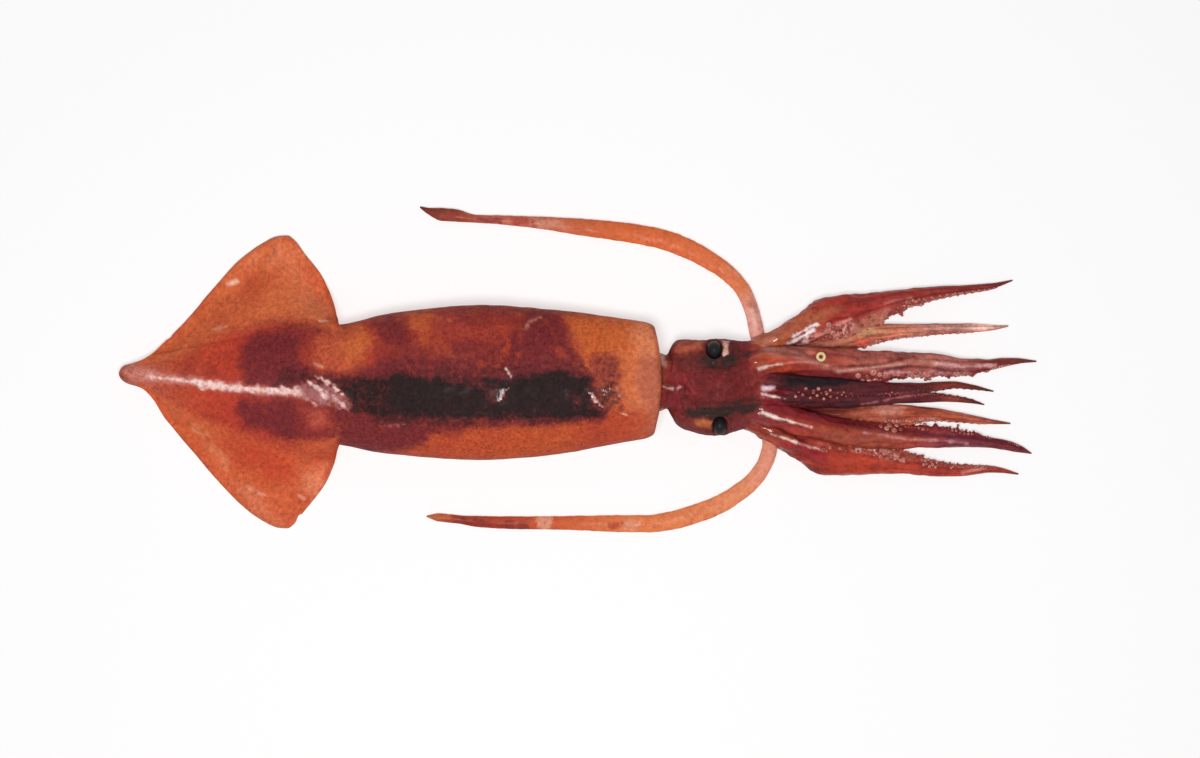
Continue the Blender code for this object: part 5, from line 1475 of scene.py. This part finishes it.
headLook = {
    "blushTone": "#8a3632", "blushAmount": 0.3, "blushSize": 1.8 * millimetre,
    "stainTone": "#4a201e", "inkTone": "#382a26", "stainGrain": 2.2 * millimetre, "raggedness": 1.0,
    "cloudSize": 2.5 * millimetre, "cloudDepth": 0.28,
    "fleckRows": ((1.4 * millimetre, 0.32, 0.5), (0.9 * millimetre, 0.3, 0.4)),   # cell size, radius, depth
    "fleckTint": (0.55, 0.42, 0.45),
    "filmSize": 2.5 * millimetre, "roughness": (0.55, 0.7), "specular": 0.10,
    "coatRoughness": 0.08, "filmIor": 1.40,
    "glow": 0.08, "glowDepth": 1.2 * millimetre,
    "wrinkleSize": 1.3 * millimetre, "wrinkleStrength": 0.22,
}
wetHeadSkin = wetSkin("wetHeadSkin", headLook)
makeHead(wetHeadSkin)
print("head made")


# Two tentacles, laid back beside the mantle: (x, y, height, half width, half height).
tentacles = {
    "leftTentacle": {
        "knots": (
            (1.190, 0.057, 0.030, 0.013, 0.014), (1.177, 0.091, 0.021, 0.014, 0.012),
            (1.168, 0.131, 0.0140, 0.0136, 0.0104), (1.152, 0.170, 0.0104, 0.014, 0.0080),
            (1.124, 0.2015, 0.0088, 0.0153, 0.0076), (1.089, 0.2265, 0.0082, 0.0168, 0.0072),
            (1.043, 0.2505, 0.0080, 0.0182, 0.0072), (0.998, 0.2665, 0.0080, 0.0185, 0.0072),
            (0.943, 0.277, 0.0080, 0.0177, 0.0072), (0.869, 0.286, 0.0080, 0.0163, 0.0072),
            (0.786, 0.295, 0.0078, 0.0118, 0.0072), (0.702, 0.3013, 0.0072, 0.0085, 0.0064),
            (0.656, 0.3035, 0.0068, 0.0075, 0.0060), (0.621, 0.3095, 0.0074, 0.0116, 0.0068),
            (0.595, 0.3115, 0.0074, 0.0121, 0.0066), (0.573, 0.317, 0.0060, 0.0067, 0.0052),
            (0.555, 0.325, 0.0042, 0.0015, 0.0030)),
        "tones": ((0.0, "#e4a294"), (0.10, "#eeaea0"), (0.17, "#e38358"), (0.28, "#e4784a"),
                  (0.48, "#dc6e3e"), (0.60, "#cf6c44"), (0.70, "#c87460"), (0.82, "#c06858"),
                  (0.90, "#a04a3c"), (1.0, "#5e2c28")),
        "patches": (
            # a painted highlight on the tentacle's root
            {"tone": "#f0c0b2", "soft": 0.0037, "amount": 0.7, "line": ((1.168, 0.139),
                (1.174, 0.098)), "width": 0.0055},
            {"tone": "#b0694e", "soft": 0.0037, "amount": 0.6, "line": (
                (1.181, 0.098), (1.176, 0.135), (1.161, 0.168)), "width": 0.0046},
            {"tone": "#e9a08c", "soft": 0.0037, "amount": 0.7, "line": ((1.113, 0.222),
                (1.140, 0.201)), "width": 0.0074},
            {"tone": "#b04434", "soft": 0.0037, "amount": 0.7, "ragged": 0.008, "grain": 0.012, "outline": (
                (0.717, 0.309), (0.743, 0.307), (0.762, 0.298), (0.758, 0.287), (0.725, 0.294))},
            {"tone": "#d89880", "soft": 0.0055, "amount": 0.6, "ragged": 0.008, "grain": 0.012, "outline": (
                (0.765, 0.305), (0.817, 0.298), (0.821, 0.283), (0.769, 0.288))},
            {"tone": "#7a3038", "soft": 0.0028, "amount": 0.8, "ragged": 0.006, "grain": 0.01, "line": (
                (0.662, 0.301), (0.702, 0.298)), "width": 0.0055},
            {"tone": "#6e3228", "soft": 0.0028, "amount": 0.7, "line": (
                (0.573, 0.323), (0.610, 0.320), (0.643, 0.316)), "width": 0.0055},
            {"tone": "#9c6038", "soft": 0.0028, "amount": 0.75, "ragged": 0.004, "grain": 0.01, "line": (
                (0.573, 0.329), (0.599, 0.327), (0.621, 0.325), (0.636, 0.320)), "width": 0.0065},
            {"tone": "#c4704a", "soft": 0.0037, "amount": 0.5, "ragged": 0.006, "grain": 0.01, "line": (
                (0.640, 0.316), (0.688, 0.312), (0.725, 0.309)), "width": 0.0055},
        ),
    },
    "rightTentacle": {
        "knots": (
            (1.198, -0.078, 0.030, 0.015, 0.014), (1.201, -0.111, 0.021, 0.0145, 0.012),
            (1.194, -0.142, 0.0140, 0.0145, 0.0104), (1.176, -0.173, 0.0104, 0.0149, 0.0080),
            (1.153, -0.195, 0.0088, 0.016, 0.0076), (1.109, -0.2235, 0.0082, 0.0168, 0.0072),
            (1.065, -0.241, 0.0080, 0.0175, 0.0072), (1.020, -0.2538, 0.0080, 0.0172, 0.0072),
            (0.976, -0.260, 0.0080, 0.0159, 0.0072), (0.909, -0.2595, 0.0080, 0.0153, 0.0072),
            (0.821, -0.2584, 0.0078, 0.0126, 0.0072), (0.739, -0.2582, 0.0074, 0.0118, 0.0068),
            (0.665, -0.256, 0.0072, 0.0104, 0.0064), (0.621, -0.2514, 0.0068, 0.0078, 0.0060),
            (0.591, -0.2482, 0.0064, 0.0077, 0.0056), (0.567, -0.2462, 0.0042, 0.0015, 0.0030)),
        "tones": ((0.0, "#d88c78"), (0.10, "#e89c82"), (0.18, "#e6946a"), (0.30, "#e88c5e"),
                  (0.46, "#e48250"), (0.56, "#de7a4c"), (0.66, "#d0623c"), (0.80, "#b44c34"),
                  (0.90, "#a4442f"), (1.0, "#a85438")),
        "patches": (
            {"tone": "#e6aa90", "soft": 0.0055, "amount": 0.45, "ragged": 0.008, "grain": 0.012, "outline": (
                (0.932, -0.250), (0.965, -0.250), (0.961, -0.272), (0.928, -0.272))},
            {"tone": "#b23e34", "soft": 0.0028, "amount": 0.8, "ragged": 0.006, "grain": 0.01, "line": (
                (0.904, -0.259), (0.915, -0.266), (0.932, -0.257)), "width": 0.0055},
            {"tone": "#e4a488", "soft": 0.0037, "amount": 0.8, "ragged": 0.006, "grain": 0.012, "outline": (
                (0.773, -0.246), (0.800, -0.246), (0.800, -0.272), (0.773, -0.272))},
            {"tone": "#7e2a2c", "soft": 0.0037, "amount": 0.75, "ragged": 0.008, "grain": 0.012, "outline": (
                (0.610, -0.250), (0.702, -0.255), (0.758, -0.257), (0.758, -0.272), (0.702, -0.272),
                (0.614, -0.261))},
            {"tone": "#6a3442", "soft": 0.0037, "amount": 0.6, "line": ((0.717, -0.266),
                (0.743, -0.268)), "width": 0.0074},
            {"tone": "#c87a50", "soft": 0.0037, "amount": 0.6, "line": ((0.577, -0.246),
                (0.606, -0.246)), "width": 0.0055},
        ),
    },
}
tentacleShape = {"steps": 260, "sides": 28, "lumpiness": 0.05, "lumpSize": 3.5 * millimetre}


def tentacleTree():
    # a limp flattened cord of flesh along a line whose points carry its width, squash and level
    tree = bpy.data.node_groups.new("fleshyCord", "GeometryNodeTree")
    interfaceSocket(tree, "Geometry", "NodeSocketGeometry")
    interfaceSocket(tree, "Sides", "NodeSocketInt", value=24)
    interfaceSocket(tree, "Lumpiness", "NodeSocketFloat", value=0.1)
    interfaceSocket(tree, "Lumps Per Metre", "NodeSocketFloat", value=300.0)
    interfaceSocket(tree, "Rise", "NodeSocketFloat", value=0.0002)
    interfaceSocket(tree, "Material", "NodeSocketMaterial")
    interfaceSocket(tree, "Geometry", "NodeSocketGeometry", "OUTPUT")
    given = addNode(tree, "NodeGroupInput").outputs
    halfWidth = addNode(tree, "GeometryNodeInputNamedAttribute", {"Name": "halfWidth"}, data_type="FLOAT").outputs[0]
    squash = addNode(tree, "GeometryNodeInputNamedAttribute", {"Name": "squash"}, data_type="FLOAT_VECTOR")
    level = addNode(tree, "GeometryNodeInputNamedAttribute", {"Name": "level"}, data_type="FLOAT_VECTOR")
    spot = addNode(tree, "GeometryNodeInputPosition").outputs[0]
    line = addNode(tree, "GeometryNodeMeshToCurve", {0: given["Geometry"]})
    circle = addNode(tree, "GeometryNodeCurvePrimitiveCircle", {"Resolution": given["Sides"], "Radius": 1.0})
    tube = addNode(tree, "GeometryNodeCurveToMesh", {
        "Curve": line.outputs[0], "Profile Curve": circle.outputs[0], "Scale": halfWidth, "Fill Caps": True})
    above = addNode(tree, "ShaderNodeVectorMath", {0: spot, 1: level.outputs[0]}, operation="SUBTRACT")
    pressed = addNode(tree, "ShaderNodeVectorMath", {
        0: above.outputs[0], 1: squash.outputs[0], 2: level.outputs[0]}, operation="MULTIPLY_ADD")
    flat = addNode(tree, "GeometryNodeSetPosition", {0: tube.outputs[0], "Position": pressed.outputs[0]})
    lumps = addNode(tree, "ShaderNodeTexNoise", {
        "Scale": given["Lumps Per Metre"], "Detail": 3.0, "Roughness": 0.55}, normalize=False)
    depth = addNode(tree, "ShaderNodeMath", {0: halfWidth, 1: given["Lumpiness"]}, operation="MULTIPLY")
    push = addNode(tree, "ShaderNodeMath", {0: lumps.outputs[0], 1: depth.outputs[0]}, operation="MULTIPLY")
    offset = addNode(tree, "ShaderNodeVectorMath", {
        0: addNode(tree, "GeometryNodeInputNormal").outputs[0], "Scale": push.outputs[0]}, operation="SCALE")
    lumpy = addNode(tree, "GeometryNodeSetPosition", {0: flat.outputs[0], "Offset": offset.outputs[0]})
    table = addNode(tree, "ShaderNodeCombineXYZ", {"X": -1000.0, "Y": -1000.0, "Z": given["Rise"]})
    rested = addNode(tree, "ShaderNodeVectorMath", {0: spot, 1: table.outputs[0]}, operation="MAXIMUM")
    laid = addNode(tree, "GeometryNodeSetPosition", {0: lumpy.outputs[0], "Position": rested.outputs[0]})
    smooth = addNode(tree, "GeometryNodeSetShadeSmooth", {"Geometry": laid.outputs[0]})
    real = addNode(tree, "GeometryNodeRealizeInstances", {"Geometry": smooth.outputs[0]})
    dressed = addNode(tree, "GeometryNodeSetMaterial", {
        "Geometry": real.outputs[0], "Material": given["Material"]})
    addNode(tree, "NodeGroupOutput", {0: dressed.outputs[0]})
    return tree


def makeTentacle(name, look, tree, material, seed):
    stations = limbStations(look["knots"])
    length = stations[-1][0]
    along = np.linspace(0, length, tentacleShape["steps"])
    place = np.stack([through(stations, along, column) for column in (1, 2, 3)], axis=-1)
    mesh = bpy.data.meshes.new(name + "Line")
    steps = len(along)
    mesh.from_pydata(inMetres(place).tolist(), [(i, i + 1) for i in range(steps - 1)], [])
    halfWidth = through(stations, along, 4)
    flat = through(stations, along, 5) / halfWidth
    none, full = np.zeros(steps), np.ones(steps)
    layers = (("halfWidth", "FLOAT", "value", halfWidth * mantleLength),
              ("along", "FLOAT", "value", along / length),
              ("squash", "FLOAT_VECTOR", "vector", np.stack([full, full, flat], axis=-1)),
              ("level", "FLOAT_VECTOR", "vector", np.stack([none, none, place[:, 2] * mantleLength], axis=-1)))
    for label, kind, field, values in layers:
        layer = mesh.attributes.new(label, kind, "POINT")
        layer.data.foreach_set(field, np.array(values, np.float32).ravel())
    piece = runNodes(linkPiece(name, mesh), tree, {
        "Sides": tentacleShape["sides"], "Lumpiness": tentacleShape["lumpiness"],
        "Lumps Per Metre": 1 / tentacleShape["lumpSize"], "Rise": armShape["rise"] * mantleLength, "Material": material})
    built = piece.data
    points = np.zeros(len(built.vertices) * 3, np.float32)
    built.vertices.foreach_get("co", points)
    points = (points.reshape(-1, 3).astype(float) - (mantleLow.x, midline, 0.0)) / mantleLength
    share = np.zeros(len(built.vertices), np.float32)
    built.attributes["along"].data.foreach_get("value", share)
    paint = blankPaint(points, look["tones"], share)
    streaks = cloud(points, 0.012, seed, 3)
    blendTone(paint["colour"], "#b04e32", 0.35 * softStep(0.2, 1.0, streaks))
    paint["stain"] = 0.40 * softStep(-0.2, 0.9, streaks) * softStep(0.55, 0.72, share)
    paintPatches(paint, points, look["patches"], seed)
    wet = np.clip(0.03 + 0.1 * cloud(points, 0.02, seed + 5), 0, 1)
    storeLooks(built, paint, wet, 0.3 + 0.5 * share)
    return finishPiece(piece, material, "head")


tentacleLook = {
    "blushTone": "#b4502e", "blushAmount": 0.35, "blushSize": 1.6 * millimetre,
    "stainTone": "#7a2a28", "inkTone": "#3a2422", "stainGrain": 1.6 * millimetre, "raggedness": 1.0,
    "cloudSize": 3 * millimetre, "cloudDepth": 0.14,
    "fleckRows": ((1.2 * millimetre, 0.3, 0.5),),
    "fleckTint": (0.72, 0.42, 0.4),
    "filmSize": 2 * millimetre, "roughness": (0.45, 0.6), "specular": 0.12,
    "coatRoughness": 0.14, "filmIor": 1.40,
    "glow": 0.20, "glowDepth": 1.5 * millimetre,
    "wrinkleSize": 1.0 * millimetre, "wrinkleStrength": 0.15,
}
wetTentacleSkin = wetSkin("wetTentacleSkin", tentacleLook)
cordTree = tentacleTree()
for number, (name, look) in enumerate(tentacles.items()):
    makeTentacle(name, look, cordTree, wetTentacleSkin, 500 + 20 * number)
print("tentacles made")


# Eyes: black glossy balls under a clear skin.
def eyeMaterial():
    # wet cornea over a black pupil: mirror-smooth, with a faint blue-grey bloom
    material = bpy.data.materials.new("wetCornea")
    material.use_nodes = True
    tree = material.node_tree
    shader = tree.nodes["Principled BSDF"]
    where = addNode(tree, "ShaderNodeTexCoord").outputs["Object"]
    bloom = addNode(tree, "ShaderNodeTexNoise", {"Vector": where, "Scale": 1 / (1.5 * millimetre), "Detail": 3.0})
    tone = addNode(tree, "ShaderNodeMix", {
        "Factor": bloom.outputs["Fac"], 6: (*toLinear("#1a1818"), 1), 7: (*toLinear("#2c282a"), 1)},
        data_type="RGBA")
    tree.links.new(tone.outputs[2], shader.inputs["Base Color"])
    shader.inputs["Roughness"].default_value = 0.5
    shader.inputs["Specular IOR Level"].default_value = 0.12
    shader.inputs["Coat Weight"].default_value = 0.05
    shader.inputs["Coat Roughness"].default_value = 0.08
    return material


def makeEye(node, material):
    turns = np.linspace(0, 2 * math.pi, 48, endpoint=False)[None, :]
    levels = np.linspace(-0.985, 0.985, 32) * math.pi / 2
    rings = np.stack([np.cos(levels)[:, None] * np.cos(turns), np.cos(levels)[:, None] * np.sin(turns),
                      np.sin(levels)[:, None] + 0 * turns], axis=-1)
    dent = 1 + 0.02 * cloud(rings, 0.8, 71)
    points = rings * dent[..., None] * eyeballs[node]["size"] + eyeballs[node]["at"]
    piece = linkPiece(node.replace("eye_", "eyeball_"), skinMesh(node, points))
    return finishPiece(piece, material, node)


cornea = eyeMaterial()
for node in eyeballs:
    makeEye(node, cornea)
print("eyes made")


# A shed horny sucker ring, stuck to the upper left arm.
looseRing = {"at": (1.292, 0.048), "height": 0.0835, "radius": 0.0063, "lip": 0.0029, "tilt": 0.12,
             "tone": "#e3d29b"}


def makeLooseRing():
    # dry chitin: pale yellow, hard and slightly shiny
    s = looseRing
    material = bpy.data.materials.new("hornyRing")
    material.use_nodes = True
    tree = material.node_tree
    shader = tree.nodes["Principled BSDF"]
    where = addNode(tree, "ShaderNodeTexCoord").outputs["Object"]
    grain = addNode(tree, "ShaderNodeTexNoise", {"Vector": where, "Scale": 1 / (0.6 * millimetre)})
    tone = addNode(tree, "ShaderNodeMix", {
        "Factor": grain.outputs["Fac"], 6: (*toLinear("#c9ad72"), 1), 7: (*toLinear(s["tone"]), 1)},
        data_type="RGBA")
    tree.links.new(tone.outputs[2], shader.inputs["Base Color"])
    shader.inputs["Roughness"].default_value = 0.35
    turn = np.linspace(0, 2 * math.pi, 40, endpoint=False)[:, None]
    lap = np.linspace(0, 2 * math.pi, 14, endpoint=False)[None, :]
    out = s["radius"] + s["lip"] * np.cos(lap)
    x, y = out * np.cos(turn), out * np.sin(turn)
    z = s["lip"] * 0.8 * np.sin(lap) + s["tilt"] * y
    points = inMetres(np.stack([x + s["at"][0], y + s["at"][1], z + s["height"]], axis=-1).reshape(-1, 3))
    here = np.arange(40 * 14).reshape(40, 14)
    ahead, beside = np.roll(here, -1, axis=0), np.roll(here, -1, axis=1)
    quads = np.stack([here, ahead, np.roll(ahead, -1, axis=1), beside], axis=-1).reshape(-1, 4)
    mesh = bpy.data.meshes.new("looseSuckerRing")
    mesh.from_pydata(points.tolist(), [], quads.tolist())
    mesh.shade_smooth()
    return finishPiece(linkPiece("looseSuckerRing", mesh), material, "head")


makeLooseRing()
print("loose sucker ring made")

# Camera straight above, as the squid lies on the table.
camera = bpy.data.objects.new("camera", bpy.data.cameras.new("camera"))
bpy.context.scene.collection.objects.link(camera)
bpy.context.scene.camera = camera
viewWidth = 2.218 * mantleLength
camera.data.lens = 150.0
camera.data.sensor_width = 36.0
camera.location = (mantleLow.x + 0.8872 * mantleLength, midline + 0.0074 * mantleLength,
                   viewWidth * camera.data.lens / camera.data.sensor_width)
camera.data.clip_start = 0.05
camera.data.clip_end = 20.0


# Light: one soft box almost overhead for the wet highlights, and an even bright room.
light = {"power": 10.0, "size": 0.28, "place": (-0.05, -0.18, 1.17), "room": 0.30}
key = bpy.data.objects.new("softBox", bpy.data.lights.new("softBox", "AREA"))
key.data.energy = light["power"]
key.data.size = light["size"]
key.location = light["place"]
key.rotation_euler = (-key.location).to_track_quat("-Z", "Y").to_euler()
bpy.context.scene.collection.objects.link(key)
world = bpy.data.worlds.new("room")
bpy.context.scene.world = world
world.use_nodes = True
background = world.node_tree.nodes["Background"]
background.inputs["Color"].default_value = (1.0, 1.0, 1.0, 1.0)
background.inputs["Strength"].default_value = light["room"]
bpy.context.scene.view_settings.view_transform = "Standard"

# Floor: matt white sweep.
floorMesh = bpy.data.meshes.new("floor")
reach = 3.0
floorMesh.from_pydata([(-reach, -reach, -0.0002), (reach, -reach, -0.0002), (reach, reach, -0.0002),
                       (-reach, reach, -0.0002)], [], [(0, 1, 2, 3)])
floor = linkPiece("floor", floorMesh)
paper = bpy.data.materials.new("mattWhitePaper")
paper.use_nodes = True
paperShader = paper.node_tree.nodes["Principled BSDF"]
grain = addNode(paper.node_tree, "ShaderNodeTexNoise", {
    "Vector": addNode(paper.node_tree, "ShaderNodeTexCoord").outputs["Object"], "Scale": 900.0})
whites = addNode(paper.node_tree, "ShaderNodeMapRange", {
    "Value": grain.outputs["Fac"], "To Min": 0.39, "To Max": 0.41})
paper.node_tree.links.new(whites.outputs["Result"], paperShader.inputs["Base Color"])
paperShader.inputs["Roughness"].default_value = 1.0
paperShader.inputs["Specular IOR Level"].default_value = 0.0
paperShader.inputs["Emission Color"].default_value = (1.0, 0.985, 0.99, 1.0)
paperShader.inputs["Emission Strength"].default_value = 0.60    # lit from below, as on a light table
floorMesh.materials.append(paper)
print("camera, light and floor set")
